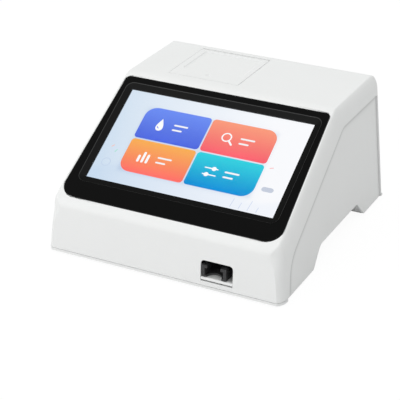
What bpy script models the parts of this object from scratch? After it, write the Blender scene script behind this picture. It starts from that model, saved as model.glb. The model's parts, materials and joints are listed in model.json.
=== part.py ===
"""A bench-top immunofluorescence analyzer, in metres, +Z up, standing on the floor plane.

Places are measured from the front face's lower edge: X to the right, Y to the back, Z up from the
floor. An empty carries them to the middle of the footprint. The screen's pieces are placed in the
sloping face's own frame, and the sockets, switch and fan in the back face's own frame.
"""

import math

import bmesh
import bpy
import numpy as np
from mathutils import Matrix, Vector

# Clearances and making values
GAP = 0.0003            # between pieces that touch
RUN = 0.0003            # round a shaft in its bore
SINK = 0.0004           # how far joined shapes run into each other
OVERRUN = 0.004         # how far a cut runs past a face
MERGE = 0.000001
FLAT_ANGLE = math.radians(0.05)
ARC_STEP = math.radians(15)
ROUND_SIDES = 20        # sides of a small round piece
WIDE_SIDES = 28         # sides of a large round piece
EDGE_SEGMENTS = 3

# Display and its frame, measured on the sloping face
DISPLAY_WIDTH = 0.2227
DISPLAY_HEIGHT = 0.1253
BEZEL_BAND_TOP = 0.0160
BEZEL_BAND_BOTTOM = 0.0283
BEZEL_BAND_SIDE = 0.01285
BEZEL_THICKNESS = 0.0055
BEZEL_TOP_RADIUS = 0.0055
BEZEL_BOTTOM_RADIUS = 0.0140
CHAMFER_WIDTH = 0.0075
CHAMFER_DEPTH = 0.0022
LIP_THICKNESS = 0.0006
WINDOW_MARGIN = 0.0004
GLASS_BORDER = 0.0060
GLASS_THICKNESS = 0.0018
PANEL_BORDER_LOW = 0.0093
PANEL_BORDER_HIGH = 0.0084
LCD_THICKNESS = 0.0050
BRACKET_THICKNESS = 0.0012
BRACKET_RIM = 0.0040
BRACKET_CUT_RIM = 0.0260
BRACKET_RIB = 0.0120
BEZEL_BOSS_RADIUS = 0.0025
BEZEL_BOSS_INSET = 0.0040
BEZEL_BOSS_LOW = 0.0200
BEZEL_BOSS_HIGH = 0.0200

# Outer casing
KNEE_MARGIN = 0.0092    # from the knee of the front face up to the bezel
RIDGE_MARGIN = 0.0068   # from the bezel up to the ridge
CASE_SIDE_MARGIN = 0.0063
KNEE_HEIGHT = 0.0621
TOP_DEPTH = 0.1185
SLOPE = math.radians(30.8)
FRONT_LEAN = math.radians(2.9)
DRAFT = math.radians(3.96)
CASE_WALL = 0.0022
CASE_EDGE_RADIUS = 0.0055
KNEE_RADIUS = 0.0140
RIDGE_RADIUS = 0.0170
REAR_RADIUS = 0.0080
FOOT_HEIGHT = 0.0020
BASE_THICKNESS = 0.0027
BOSS_RADIUS = 0.0040
BOSS_HEIGHT = 0.0300
BOSS_SIDE = 0.0290
BOSS_FRONT = 0.0064
BOSS_REAR = 0.0070

# Side panels
SIDE_WINDOW_FRONT = 0.0155
SIDE_WINDOW_LEAN = math.radians(8)
SIDE_WINDOW_SLOPE = 0.0225
SIDE_WINDOW_TOP = 0.0253
SIDE_WINDOW_REAR = 0.0045
SIDE_WINDOW_KNEE_RADIUS = 0.0380
SIDE_WINDOW_RIDGE_RADIUS = 0.0180
SIDE_WINDOW_REAR_RADIUS = 0.0020
SIDE_RECESS = 0.0018
SIDE_THICKNESS = 0.0030
FRONT_FOOT_LENGTH = 0.0870
REAR_FOOT_LENGTH = 0.0562
ARCH_HEIGHT = 0.0205
ARCH_SLANT = math.radians(45)
ARCH_FRONT_RADIUS = 0.0140
ARCH_REAR_RADIUS = 0.0070
FOOT_CORNER_RADIUS = 0.0040

# Base
POCKET_REACH = 0.0260
POCKET_WALL = 0.0022
PAD_RADIUS = 0.0036
PAD_HEIGHT = 0.0030
HEAD_POCKET_DEPTH = 0.0026
STANDOFF_RADIUS = 0.0030
VENT_COUNT = 6
VENT_WIDTH = 0.0026
VENT_LENGTH = 0.0420
VENT_PITCH = 0.0090
FOOT_RADIUS = 0.0080
FOOT_SEAT = 0.0012
FOOT_FROM_SIDE = 0.0200
SCREW_RADIUS = 0.0015
SCREW_HEAD_RADIUS = 0.0028
SCREW_HEAD_HEIGHT = 0.0018
SCREW_LENGTH = 0.0140

# Card slot and tray
SLOT_LEFT = 0.0473
SLOT_WIDTH = 0.0370
SLOT_LOW = 0.0099
SLOT_HIGH = 0.0341
SLOT_RADIUS = 0.0042
TRAY_SLIT = 0.0011
TRAY_THICKNESS = 0.0035
TRAY_DEPTH = 0.0950
TRAY_SET_BACK = 0.0003
TRAY_TRAVEL = 0.0500
HOLDER_FROM_LEFT = 0.0006
HOLDER_WIDTH = 0.0287
HOLDER_SET_BACK = 0.0006
HOLDER_DEPTH = 0.0680
HOLDER_HEIGHT = 0.0140
HOLDER_FLOOR = 0.0022
HOLDER_WALL = 0.0038
CLAW_DEPTH = 0.0070
CLAW_REACH = 0.0028
CLAW_THICKNESS = 0.0036
CARD_RAIL_HEIGHT = 0.0095
SCOOP_RADIUS = 0.0085
LUG_START = 0.0700
LUG_LENGTH = 0.0160
LUG_REACH = 0.0105
LUG_RISE = 0.0016
ROD_RADIUS = 0.0020
ROD_OFFSET = 0.0058
SCREW_OFFSET = 0.0142
LEAD_RADIUS = 0.0025
LEAD_HEIGHT = 0.0170
NUT_RADIUS = 0.0050
NUT_FLANGE_RADIUS = 0.0066
NUT_FLANGE = 0.0015
NUT_BLOCK_MARGIN = 0.0024
BEARING_RADIUS = 0.0044
BEARING_FLANGE = 0.0056
BEARING_FLANGE_THICKNESS = 0.0010

# Transport frame, motor, light shield
FRAME_SHEET = 0.0016
FRAME_START = 0.0080
FRAME_LENGTH = 0.1640
FRAME_SIDE_MARGIN = 0.0010
FRONT_UPRIGHT_HEIGHT = 0.0230
REAR_UPRIGHT_HEIGHT = 0.0270
MOTOR_RADIUS = 0.0100
MOTOR_LENGTH = 0.0180
MOTOR_EAR_WIDTH = 0.0280
MOTOR_EAR_HEIGHT = 0.0080
MOTOR_EAR_THICKNESS = 0.0010
SCREW_TAIL = 0.0080
SHIELD_WALL = 0.0012
SHIELD_CLEARANCE = 0.0008
SHIELD_START = 0.0056
SHIELD_SKIRT_LENGTH = 0.0125
SHIELD_ROOF_LENGTH = 0.0280
SHIELD_OVER_HOLDER = 0.0052

# Optics over the tray
BRIDGE_SHEET = 0.0018
BRIDGE_START = 0.0440
BRIDGE_LENGTH = 0.0500
BRIDGE_OVER_HOLDER = 0.0058
BRIDGE_SIDE_CLEARANCE = 0.0030
HEAD_WIDTH = 0.0420
HEAD_DEPTH = 0.0440
HEAD_HEIGHT = 0.0330
HEAD_BORE_RADIUS = 0.0090
LAMP_BORE_RADIUS = 0.0070
MIRROR_HALF_RUN = 0.0060
MIRROR_HALF_WIDTH = 0.0060
MIRROR_THICKNESS = 0.0010
LENS_THICKNESS = 0.0052
LENS_EDGE = 0.0020
LENS_FROM_BOTTOM = 0.0008
FILTER_THICKNESS = 0.0030
LAMP_FILTER_THICKNESS = 0.0020
LAMP_FILTER_FROM_SIDE = 0.0080
LAMP_PLUG_DEPTH = 0.0060
LAMP_FLANGE_RADIUS = 0.0090
LAMP_FLANGE = 0.0030
DIODE_RADIUS = 0.0048
DIODE_HEIGHT = 0.0042
BOARD_THICKNESS = 0.0016
DETECTOR_BOARD_MARGIN = 0.0020

# Printer under the top
LID_WIDTH = 0.0864
LID_CENTRE = -0.0390
LID_FROM_RIDGE = 0.0145
LID_FROM_REAR = 0.0157
LID_THICKNESS = 0.0025
LID_CORNER_RADIUS = 0.0012
LID_GAP = 0.0003
LID_RECESS_WIDTH = 0.0720
LID_RECESS_FRONT = 0.0230
LID_RECESS_REAR = 0.0070
LID_RECESS_DEPTH = 0.0011
DIMPLE_RADIUS = 0.0028
DIMPLE_DEPTH = 0.0014
DIMPLE_FROM_FRONT = 0.0130
BARREL_RADIUS = 0.0037
PIN_RADIUS = 0.0010
PIN_REACH = 0.0050
PLATEN_FROM_FRONT = 0.0070
PLATEN_DROP = 0.0092
PLATEN_RADIUS = 0.0045
PLATEN_LENGTH = 0.0580
PLATEN_SHAFT_RADIUS = 0.0015
ARM_THICKNESS = 0.0030
ARM_HALF_LENGTH = 0.0042
ARM_BELOW_SHAFT = 0.0036
ARM_SIDE_GAP = 0.0006
GEAR_MODULE = 0.0006
GEAR_WIDTH = 0.0030
PLATEN_TEETH = 20
PINION_TEETH = 14
GEAR_BACKLASH = 0.0001
PINION_ANGLE = math.radians(-34)
MESH_TURN_SHARE = 0.5
TOOTH_TIP_SHARE = 0.22
TOOTH_PITCH_SHARE = 0.40
TOOTH_ROOT_SHARE = 0.56
ADDENDUM_SHARE = 0.80
DEDENDUM_SHARE = 1.15
ROLL_RADIUS = 0.0220
ROLL_WIDTH = 0.0570
ROLL_CORE_RADIUS = 0.0062
ROLL_SIDE_GAP = 0.0009
ROLL_UNDER_LID = 0.0045
ROLL_BACK_GAP = 0.0060
ROLL_FRONT_GAP = 0.0100
BIN_WALL = 0.0020
BIN_FLANGE = 0.0060
BIN_UPPER_DEPTH = 0.0175
BIN_HINGE_SLOT = 0.0013
PRINT_HEAD_DEPTH = 0.0060
PRINT_HEAD_HEIGHT = 0.0120
PRINTER_MOTOR_RADIUS = 0.0075
PRINTER_MOTOR_LENGTH = 0.0120

# Back face: places are from the rear panel's ends, and up the face from its lower edge
REAR_PANEL_WIDTH = 0.1960
REAR_PANEL_LOW = 0.0160
REAR_PANEL_HIGH = 0.1180
REAR_PANEL_RADIUS = 0.0030
REAR_PANEL_THICKNESS = 0.0020
REAR_PANEL_SET_IN = 0.0006
SOCKET_ROW = 0.0400
SWITCH_FROM_END = 0.0160
SWITCH_WIDTH = 0.0130
SWITCH_HEIGHT = 0.0192
SWITCH_FLANGE = 0.0012
SWITCH_FLANGE_RIM = 0.0015
SWITCH_DEPTH = 0.0140
SWITCH_WALL = 0.0012
ROCKER_TILT = math.radians(7)
ROCKER_PIVOT_IN = 0.0030
ROCKER_RADIUS = 0.0055
ROCKER_LIFT = 0.0016
ROCKER_BODY = 0.0036
ROCKER_END_GAP = 0.0012
POWER_FROM_END = 0.0420
POWER_WIDTH = 0.0090
POWER_HEIGHT = 0.0110
POWER_HOLE_RADIUS = 0.0032
POWER_PIN_RADIUS = 0.0010
DATA_FROM_END = 0.0635
DATA_PITCH = 0.0190
DATA_COUNT = 2
DATA_WIDTH = 0.0131
DATA_HEIGHT = 0.0057
DATA_WALL = 0.0005
DATA_TONGUE = 0.0018
DATA_TONGUE_WIDTH = 0.0110
NETWORK_FROM_END = 0.1060
NETWORK_WIDTH = 0.0160
NETWORK_HEIGHT = 0.0134
NETWORK_HOLE_WIDTH = 0.0118
NETWORK_HOLE_HEIGHT = 0.0078
NETWORK_KEY_WIDTH = 0.0060
NETWORK_KEY_HEIGHT = 0.0022
SOCKET_DEPTH = 0.0165
SOCKET_PROUD = 0.0004
SOCKET_HOLE_DEPTH = 0.0110
SOCKET_BOARD_MARGIN = 0.0100
SOCKET_BOARD_HEIGHT = 0.0320
FAN_FROM_END = 0.0320
FAN_UP = 0.0720
FAN_SIZE = 0.0400
FAN_DEPTH = 0.0100
FAN_BORE_RADIUS = 0.0188
FAN_CORNER_RADIUS = 0.0030
FAN_HUB_RADIUS = 0.0080
FAN_STATOR_THICKNESS = 0.0016
FAN_STRUT_WIDTH = 0.0024
FAN_STRUTS = 3
FAN_STRUT_TURN_SHARE = 0.1
FAN_AXLE_RADIUS = 0.0010
FAN_BLADES = 7
FAN_BLADE_CHORD = 0.0082
FAN_BLADE_THICKNESS = 0.0008
FAN_BLADE_PITCH = math.radians(38)
FAN_BLADE_TIP_GAP = 0.0009
GRILLE_SLOTS = 7
GRILLE_SLOT = 0.0026
GRILLE_PITCH = 0.0050

# Main board and loudspeaker
MAIN_BOARD_WIDTH = 0.1000
MAIN_BOARD_DEPTH = 0.0920
MAIN_BOARD_LEFT = 0.0360
MAIN_BOARD_START = 0.1180
MAIN_BOARD_LIFT = 0.0075
STANDOFF_INSET = 0.0070
HEAT_SINK_SIZE = 0.0320
HEAT_SINK_HEIGHT = 0.0060
HEADER_LENGTH = 0.0420
HEADER_WIDTH = 0.0060
HEADER_HEIGHT = 0.0080
SPEAKER_RADIUS = 0.0160
SPEAKER_HEIGHT = 0.0070
SPEAKER_RIM = 0.0020
SPEAKER_CONE = 0.0040
SPEAKER_FROM_LEFT = 0.0700
SPEAKER_FROM_FRONT = 0.0600

# Sizes that follow
SLOPE_LENGTH = KNEE_MARGIN + BEZEL_BAND_BOTTOM + DISPLAY_HEIGHT + BEZEL_BAND_TOP + RIDGE_MARGIN
TOP_HEIGHT = KNEE_HEIGHT + SLOPE_LENGTH * math.sin(SLOPE)
KNEE_BACK = (KNEE_HEIGHT - FOOT_HEIGHT) * math.tan(FRONT_LEAN)
RIDGE_BACK = KNEE_BACK + SLOPE_LENGTH * math.cos(SLOPE)
DEPTH = RIDGE_BACK + TOP_DEPTH + (TOP_HEIGHT - FOOT_HEIGHT) * math.tan(DRAFT)
BEZEL_START = KNEE_MARGIN
DISPLAY_START = BEZEL_START + BEZEL_BAND_BOTTOM
DISPLAY_END = DISPLAY_START + DISPLAY_HEIGHT
BEZEL_END = DISPLAY_END + BEZEL_BAND_TOP
BEZEL_TOP_HEIGHT = KNEE_HEIGHT + BEZEL_END * math.sin(SLOPE)
HALF_WIDTH = (
    DISPLAY_WIDTH / 2 + BEZEL_BAND_SIDE + CASE_SIDE_MARGIN
    + (BEZEL_TOP_HEIGHT - FOOT_HEIGHT) * math.tan(DRAFT)
)
BASE_TOP = FOOT_HEIGHT + BASE_THICKNESS
CASE_BOTTOM = BASE_TOP + GAP
PAD_TOP = BASE_TOP + PAD_HEIGHT
ARCH_TOP = FOOT_HEIGHT + ARCH_HEIGHT
TRAY_BOTTOM = SLOT_LOW + TRAY_SLIT
TRAY_TOP = TRAY_BOTTOM + TRAY_THICKNESS
TRAY_LEFT = SLOT_LEFT + GAP
TRAY_RIGHT = SLOT_LEFT + SLOT_WIDTH - GAP
TRAY_MIDDLE = (TRAY_LEFT + TRAY_RIGHT) / 2
HOLDER_LEFT = SLOT_LEFT + HOLDER_FROM_LEFT
HOLDER_RIGHT = HOLDER_LEFT + HOLDER_WIDTH
HOLDER_BOTTOM = TRAY_TOP + GAP
HOLDER_TOP = HOLDER_BOTTOM + HOLDER_HEIGHT
HOLDER_MIDDLE = (HOLDER_LEFT + HOLDER_RIGHT) / 2
ROD_HEIGHT = (TRAY_BOTTOM + TRAY_TOP) / 2
ROD_LEFT = TRAY_LEFT - ROD_OFFSET
ROD_RIGHT = TRAY_RIGHT + ROD_OFFSET
LEAD_ACROSS = TRAY_LEFT - SCREW_OFFSET
LUG_OUTER_LEFT = LEAD_ACROSS - NUT_RADIUS - NUT_BLOCK_MARGIN
LUG_OUTER_RIGHT = TRAY_RIGHT + LUG_REACH
FRAME_LEFT = LUG_OUTER_LEFT - BRIDGE_SIDE_CLEARANCE - BRIDGE_SHEET - FRAME_SIDE_MARGIN
FRAME_RIGHT = LUG_OUTER_RIGHT + BRIDGE_SIDE_CLEARANCE + BRIDGE_SHEET + FRAME_SIDE_MARGIN
FRAME_BOTTOM = BASE_TOP + GAP
FRAME_FLOOR = FRAME_BOTTOM + FRAME_SHEET
FRAME_END = FRAME_START + FRAME_LENGTH
BRIDGE_BOTTOM = HOLDER_TOP + BRIDGE_OVER_HOLDER
BRIDGE_TOP = BRIDGE_BOTTOM + BRIDGE_SHEET
HEAD_BOTTOM = BRIDGE_TOP + GAP
HEAD_TOP = HEAD_BOTTOM + HEAD_HEIGHT
HEAD_BACK = BRIDGE_START + BRIDGE_LENGTH / 2
LAMP_HEIGHT = HEAD_BOTTOM + HEAD_HEIGHT / 2
LID_FRONT = RIDGE_BACK + LID_FROM_RIDGE
LID_REAR = RIDGE_BACK + TOP_DEPTH - LID_FROM_REAR
LID_BOTTOM = TOP_HEIGHT - LID_THICKNESS
LID_HALF = LID_WIDTH / 2
HINGE_BACK = LID_REAR - BARREL_RADIUS
HINGE_HEIGHT = TOP_HEIGHT - BARREL_RADIUS
PLATEN_BACK = LID_FRONT + PLATEN_FROM_FRONT
PLATEN_HEIGHT = TOP_HEIGHT - PLATEN_DROP
BIN_TOP = TOP_HEIGHT - CASE_WALL - GAP
BIN_STEP = BIN_TOP - BIN_UPPER_DEPTH
ROLL_HEIGHT = LID_BOTTOM - ROLL_UNDER_LID - ROLL_RADIUS
ROLL_BACK = LID_REAR - ROLL_BACK_GAP - ROLL_RADIUS
BIN_FLOOR = ROLL_HEIGHT - ROLL_RADIUS - GAP
BIN_HALF = ROLL_WIDTH / 2 + ROLL_SIDE_GAP
ARM_INNER = PLATEN_LENGTH / 2 + ARM_SIDE_GAP
ARM_OUTER = ARM_INNER + ARM_THICKNESS
GEAR_INNER = ARM_OUTER + ARM_SIDE_GAP
GEAR_OUTER = GEAR_INNER + GEAR_WIDTH
GEAR_DISTANCE = GEAR_MODULE * (PLATEN_TEETH + PINION_TEETH) / 2 + GEAR_BACKLASH
PINION_BACK = PLATEN_BACK + GEAR_DISTANCE * math.cos(PINION_ANGLE)
PINION_HEIGHT = PLATEN_HEIGHT + GEAR_DISTANCE * math.sin(PINION_ANGLE)
GLASS_TOP = -CHAMFER_DEPTH - LIP_THICKNESS - GAP
LCD_TOP = GLASS_TOP - GLASS_THICKNESS - GAP
LCD_BOTTOM = LCD_TOP - LCD_THICKNESS
BRACKET_TOP = LCD_BOTTOM - GAP
MAIN_BOARD_BOTTOM = BASE_TOP + MAIN_BOARD_LIFT
SWITCH_ACROSS = -REAR_PANEL_WIDTH / 2 + SWITCH_FROM_END
POWER_ACROSS = -REAR_PANEL_WIDTH / 2 + POWER_FROM_END
DATA_ACROSS = -REAR_PANEL_WIDTH / 2 + DATA_FROM_END
NETWORK_ACROSS = -REAR_PANEL_WIDTH / 2 + NETWORK_FROM_END
FAN_ACROSS = REAR_PANEL_WIDTH / 2 - FAN_FROM_END

# Finishes: colour, roughness, metallic
FINISHES = {
    "white_shell": ((0.83, 0.84, 0.84), 0.42, 0.0),
    "white_inner": ((0.74, 0.75, 0.75), 0.50, 0.0),
    "black_gloss": ((0.012, 0.012, 0.013), 0.25, 0.0),
    "black_matte": ((0.030, 0.030, 0.032), 0.60, 0.0),
    "clear_glass": ((0.75, 0.80, 0.84), 0.05, 0.0),
    "display": ((0.70, 0.80, 0.92), 0.30, 0.0),
    "board": ((0.02, 0.16, 0.07), 0.50, 0.0),
    "sheet_steel": ((0.55, 0.56, 0.57), 0.35, 1.0),
    "bright_steel": ((0.70, 0.70, 0.71), 0.20, 1.0),
    "anodised": ((0.035, 0.035, 0.038), 0.45, 0.6),
    "brass": ((0.72, 0.52, 0.22), 0.30, 1.0),
    "rubber": ((0.045, 0.045, 0.047), 0.80, 0.0),
    "paper": ((0.90, 0.90, 0.88), 0.85, 0.0),
    "gear_plastic": ((0.86, 0.84, 0.78), 0.45, 0.0),
    "tinted_glass": ((0.70, 0.30, 0.12), 0.08, 0.0),
}

PLANES = {
    "XY": Matrix.Identity(4),
    "YZ": Matrix(((0, 0, 1, 0), (1, 0, 0, 0), (0, 1, 0, 0), (0, 0, 0, 1))),
    "XZ": Matrix(((1, 0, 0, 0), (0, 0, -1, 0), (0, 1, 0, 0), (0, 0, 0, 1))),
}
AXES = {
    "X": Matrix.Rotation(math.pi / 2, 4, "Y"),
    "Y": Matrix.Rotation(-math.pi / 2, 4, "X"),
    "Z": Matrix.Identity(4),
}

for old in list(bpy.data.objects):
    bpy.data.objects.remove(old)
parts = bpy.data.collections.new("immunofluorescence_analyzer")
cutters = bpy.data.collections.new("cutters")
bpy.context.scene.collection.children.link(parts)
bpy.context.scene.collection.children.link(cutters)


def empty(name, parent, location=(0, 0, 0), rotation=(0, 0, 0)):
    frame = bpy.data.objects.new(name, None)
    frame.parent = parent
    frame.location = location
    frame.rotation_euler = rotation
    parts.objects.link(frame)
    return frame


def add(name, mesh, parent, finish, location=(0, 0, 0)):
    """A piece has a finish. A shape without one is a cutter or a shape to be joined."""
    obj = bpy.data.objects.new(name, mesh)
    obj.parent = parent
    obj.location = location
    if finish is None:
        cutters.objects.link(obj)
        obj.display_type = "WIRE"
        obj.hide_render = True
        return obj
    parts.objects.link(obj)
    colour, roughness, metallic = FINISHES[finish]
    material = bpy.data.materials.new(f"{name}_{finish}")
    material.use_nodes = True
    shader = material.node_tree.nodes["Principled BSDF"]
    shader.inputs["Base Color"].default_value = (*colour, 1.0)
    shader.inputs["Roughness"].default_value = roughness
    shader.inputs["Metallic"].default_value = metallic
    mesh.materials.append(material)
    return obj


def face_out(mesh):
    shape = bmesh.new()
    shape.from_mesh(mesh)
    bmesh.ops.recalc_face_normals(shape, faces=shape.faces)
    shape.to_mesh(mesh)
    shape.free()


def block(name, x, y, z, parent, finish=None):
    """A box from its low and high value on each axis, with its origin in its middle."""
    low = Vector((x[0], y[0], z[0]))
    high = Vector((x[1], y[1], z[1]))
    shape = bmesh.new()
    bmesh.ops.create_cube(shape, size=1.0)
    bmesh.ops.scale(shape, vec=high - low, verts=shape.verts)
    mesh = bpy.data.meshes.new(name)
    shape.to_mesh(mesh)
    shape.free()
    return add(name, mesh, parent, finish, (low + high) / 2)


def rod(name, axis, radius, low, high, centre, parent, finish=None, sides=ROUND_SIDES, tip=None):
    """A cylinder along an axis. centre is its place on the other two axes, in X, Y, Z order."""
    shape = bmesh.new()
    bmesh.ops.create_cone(
        shape, cap_ends=True, segments=sides, radius1=radius,
        radius2=radius if tip is None else tip, depth=high - low, matrix=AXES[axis],
    )
    mesh = bpy.data.meshes.new(name)
    shape.to_mesh(mesh)
    shape.free()
    mesh.shade_smooth()
    mesh.set_sharp_from_angle(angle=math.radians(35))
    place = list(centre)
    place.insert("XYZ".index(axis), (low + high) / 2)
    return add(name, mesh, parent, finish, place)


def prism(name, outline, low, high, plane, parent, finish=None):
    """An outline drawn in a plane and pulled through from low to high across it."""
    curve = bpy.data.curves.new(name, "CURVE")
    curve.dimensions = "2D"
    curve.fill_mode = "BOTH"
    curve.extrude = (high - low) / 2
    spline = curve.splines.new("POLY")
    spline.points.add(len(outline) - 1)
    for point, (u, v) in zip(spline.points, outline):
        point.co = (u, v, 0, 1)
    spline.use_cyclic_u = True
    drawn = bpy.data.objects.new(name, curve)
    cutters.objects.link(drawn)
    depsgraph = bpy.context.evaluated_depsgraph_get()
    mesh = bpy.data.meshes.new_from_object(drawn.evaluated_get(depsgraph))
    bpy.data.objects.remove(drawn)
    shape = bmesh.new()
    shape.from_mesh(mesh)
    bmesh.ops.remove_doubles(shape, verts=shape.verts, dist=MERGE)
    bmesh.ops.dissolve_limit(
        shape, angle_limit=FLAT_ANGLE, verts=shape.verts, edges=shape.edges
    )
    bmesh.ops.translate(shape, vec=(0, 0, (low + high) / 2), verts=shape.verts)
    bmesh.ops.transform(shape, matrix=PLANES[plane], verts=shape.verts)
    bmesh.ops.recalc_face_normals(shape, faces=shape.faces)
    shape.to_mesh(mesh)
    shape.free()
    return add(name, mesh, parent, finish)


def change(target, other, operation):
    modifier = target.modifiers.new(other.name, "BOOLEAN")
    modifier.operation = operation
    modifier.solver = "EXACT"
    modifier.object = other


def cut(target, *others):
    for other in others:
        change(target, other, "DIFFERENCE")


def join(target, *others):
    for other in others:
        change(target, other, "UNION")


def rounded(corners, radii):
    """The outline's corners, each turned into an arc that touches both of its sides."""
    points = []
    count = len(corners)
    for i, radius in enumerate(radii):
        corner = np.array(corners[i], float)
        if radius <= 0:
            points.append(tuple(corner))
            continue
        before = np.array(corners[i - 1], float) - corner
        after = np.array(corners[(i + 1) % count], float) - corner
        before = before / np.linalg.norm(before)
        after = after / np.linalg.norm(after)
        half = math.acos(np.clip(before @ after, -1, 1)) / 2
        turn = math.pi - 2 * half
        middle = (before + after) / np.linalg.norm(before + after)
        centre = corner + middle * radius / math.sin(half)
        first = corner + before * radius / math.tan(half) - centre
        last = corner + after * radius / math.tan(half) - centre
        steps = max(1, math.ceil(turn / ARC_STEP))
        for share in np.linspace(0, 1, steps + 1):
            spoke = math.sin((1 - share) * turn) * first + math.sin(share * turn) * last
            points.append(tuple(centre + spoke / math.sin(turn)))
    return points


def rectangle(u, v, radius=0):
    corners = [(u[0], v[0]), (u[1], v[0]), (u[1], v[1]), (u[0], v[1])]
    return rounded(corners, [radius] * 4)


def meet(point, along, other, other_along):
    """Where two lines meet, each given by a point and a direction."""
    point, along = np.array(point, float), np.array(along, float)
    other, other_along = np.array(other, float), np.array(other_along, float)
    across = np.array((-other_along[1], other_along[0]))
    return point + along * ((other - point) @ across) / (along @ across)


def inset(corners, distances):
    """An anticlockwise outline whose sides each move inward by their own distance."""
    lines = []
    for i, distance in enumerate(distances):
        start = np.array(corners[i], float)
        along = np.array(corners[(i + 1) % len(corners)], float) - start
        along = along / np.linalg.norm(along)
        lines.append((start + distance * np.array((-along[1], along[0])), along))
    return [meet(*lines[i - 1], *lines[i]) for i in range(len(lines))]


def half_width(height):
    """Half of the casing's width at a height above the floor."""
    return HALF_WIDTH - (height - FOOT_HEIGHT) * math.tan(DRAFT)


def front_back(height):
    """How far the front face has leaned back at a height."""
    return (height - FOOT_HEIGHT) * math.tan(FRONT_LEAN)


def rear_back(height):
    return DEPTH - (height - FOOT_HEIGHT) * math.tan(DRAFT)


def bezel_half(up):
    """Half of the bezel's width at a distance up the sloping face from the knee."""
    return half_width(KNEE_HEIGHT + up * math.sin(SLOPE)) - CASE_SIDE_MARGIN


device = empty("device", None, (0, -DEPTH / 2, 0))
slope_frame = empty("slope_frame", device, (0, KNEE_BACK, KNEE_HEIGHT), (SLOPE, 0, 0))
rear_frame = empty("rear_frame", device, (0, DEPTH, FOOT_HEIGHT), (DRAFT, 0, 0))

# The casing's side view, anticlockwise from the front's lower edge
CASE_CORNERS = [
    (front_back(CASE_BOTTOM), CASE_BOTTOM),
    (rear_back(CASE_BOTTOM), CASE_BOTTOM),
    (rear_back(TOP_HEIGHT), TOP_HEIGHT),
    (RIDGE_BACK, TOP_HEIGHT),
    (KNEE_BACK, KNEE_HEIGHT),
]


def casing_shape(name, wall, below, finish=None):
    """The casing's outer form, moved in by a wall and carried down below its lower edge."""
    corners = inset(CASE_CORNERS, (-below, wall, wall, wall, wall))
    radii = (0, 0, REAR_RADIUS - wall, RIDGE_RADIUS - wall, KNEE_RADIUS - wall)
    shape = prism(name, rounded(corners, radii), -HALF_WIDTH, HALF_WIDTH, "YZ", device, finish)
    for vertex in shape.data.vertices:
        side = half_width(vertex.co.z) - wall
        vertex.co.x = math.copysign(side, vertex.co.x)
    edges = bmesh.new()
    edges.from_mesh(shape.data)
    edges.normal_update()
    ends = [face for face in edges.faces if abs(face.normal.x) > math.cos(2 * DRAFT)]
    rims = {edge for face in ends for edge in face.edges}
    lowest = min(vertex.co.z for vertex in edges.verts)
    kept = [
        edge for edge in rims
        if not all(vertex.co.z < lowest + MERGE for vertex in edge.verts)
        and not all(face in ends for face in edge.link_faces)
    ]
    bmesh.ops.bevel(
        edges, geom=kept, offset=CASE_EDGE_RADIUS - wall, offset_type="OFFSET",
        segments=EDGE_SEGMENTS, profile=0.5, affect="EDGES",
    )
    edges.to_mesh(shape.data)
    edges.free()
    face_out(shape.data)
    return shape


def side_window_corners():
    """The recessed panel's outline in side view, anticlockwise, down to the floor line."""
    sides = inset(CASE_CORNERS, (0, SIDE_WINDOW_REAR, SIDE_WINDOW_TOP, SIDE_WINDOW_SLOPE, 0))
    front = (SIDE_WINDOW_FRONT, FOOT_HEIGHT)
    lean = (math.sin(SIDE_WINDOW_LEAN), math.cos(SIDE_WINDOW_LEAN))
    knee = meet(front, lean, sides[3], (math.cos(SLOPE), math.sin(SLOPE)))
    foot = (rear_back(FOOT_HEIGHT) - SIDE_WINDOW_REAR, FOOT_HEIGHT)
    return [front, foot, sides[2], sides[3], knee]


def arch_side(height, rear=False):
    """Where the arch's slanted side stands at a height."""
    run = (height - FOOT_HEIGHT) / math.tan(ARCH_SLANT)
    if rear:
        return DEPTH - REAR_FOOT_LENGTH - run
    return FRONT_FOOT_LENGTH + run


def arch_outline(low, grow):
    """The arch in side view, grown outward by a wall."""
    top = ARCH_TOP
    corners = [
        (arch_side(low), low), (arch_side(low, True), low),
        (arch_side(top, True), top), (arch_side(top), top),
    ]
    corners = inset(corners, (0, -grow, -grow, -grow))
    return rounded(corners, (0, 0, ARCH_REAR_RADIUS + grow, ARCH_FRONT_RADIUS + grow))


def socket_hole(name, across, width, height, finish=None):
    """A rectangular hole through the rear panel, round a socket or the switch."""
    return block(
        name, (across - width / 2 - GAP, across + width / 2 + GAP),
        (-REAR_PANEL_SET_IN - REAR_PANEL_THICKNESS - OVERRUN, OVERRUN),
        (SOCKET_ROW - height / 2 - GAP, SOCKET_ROW + height / 2 + GAP), rear_frame, finish,
    )


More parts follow.
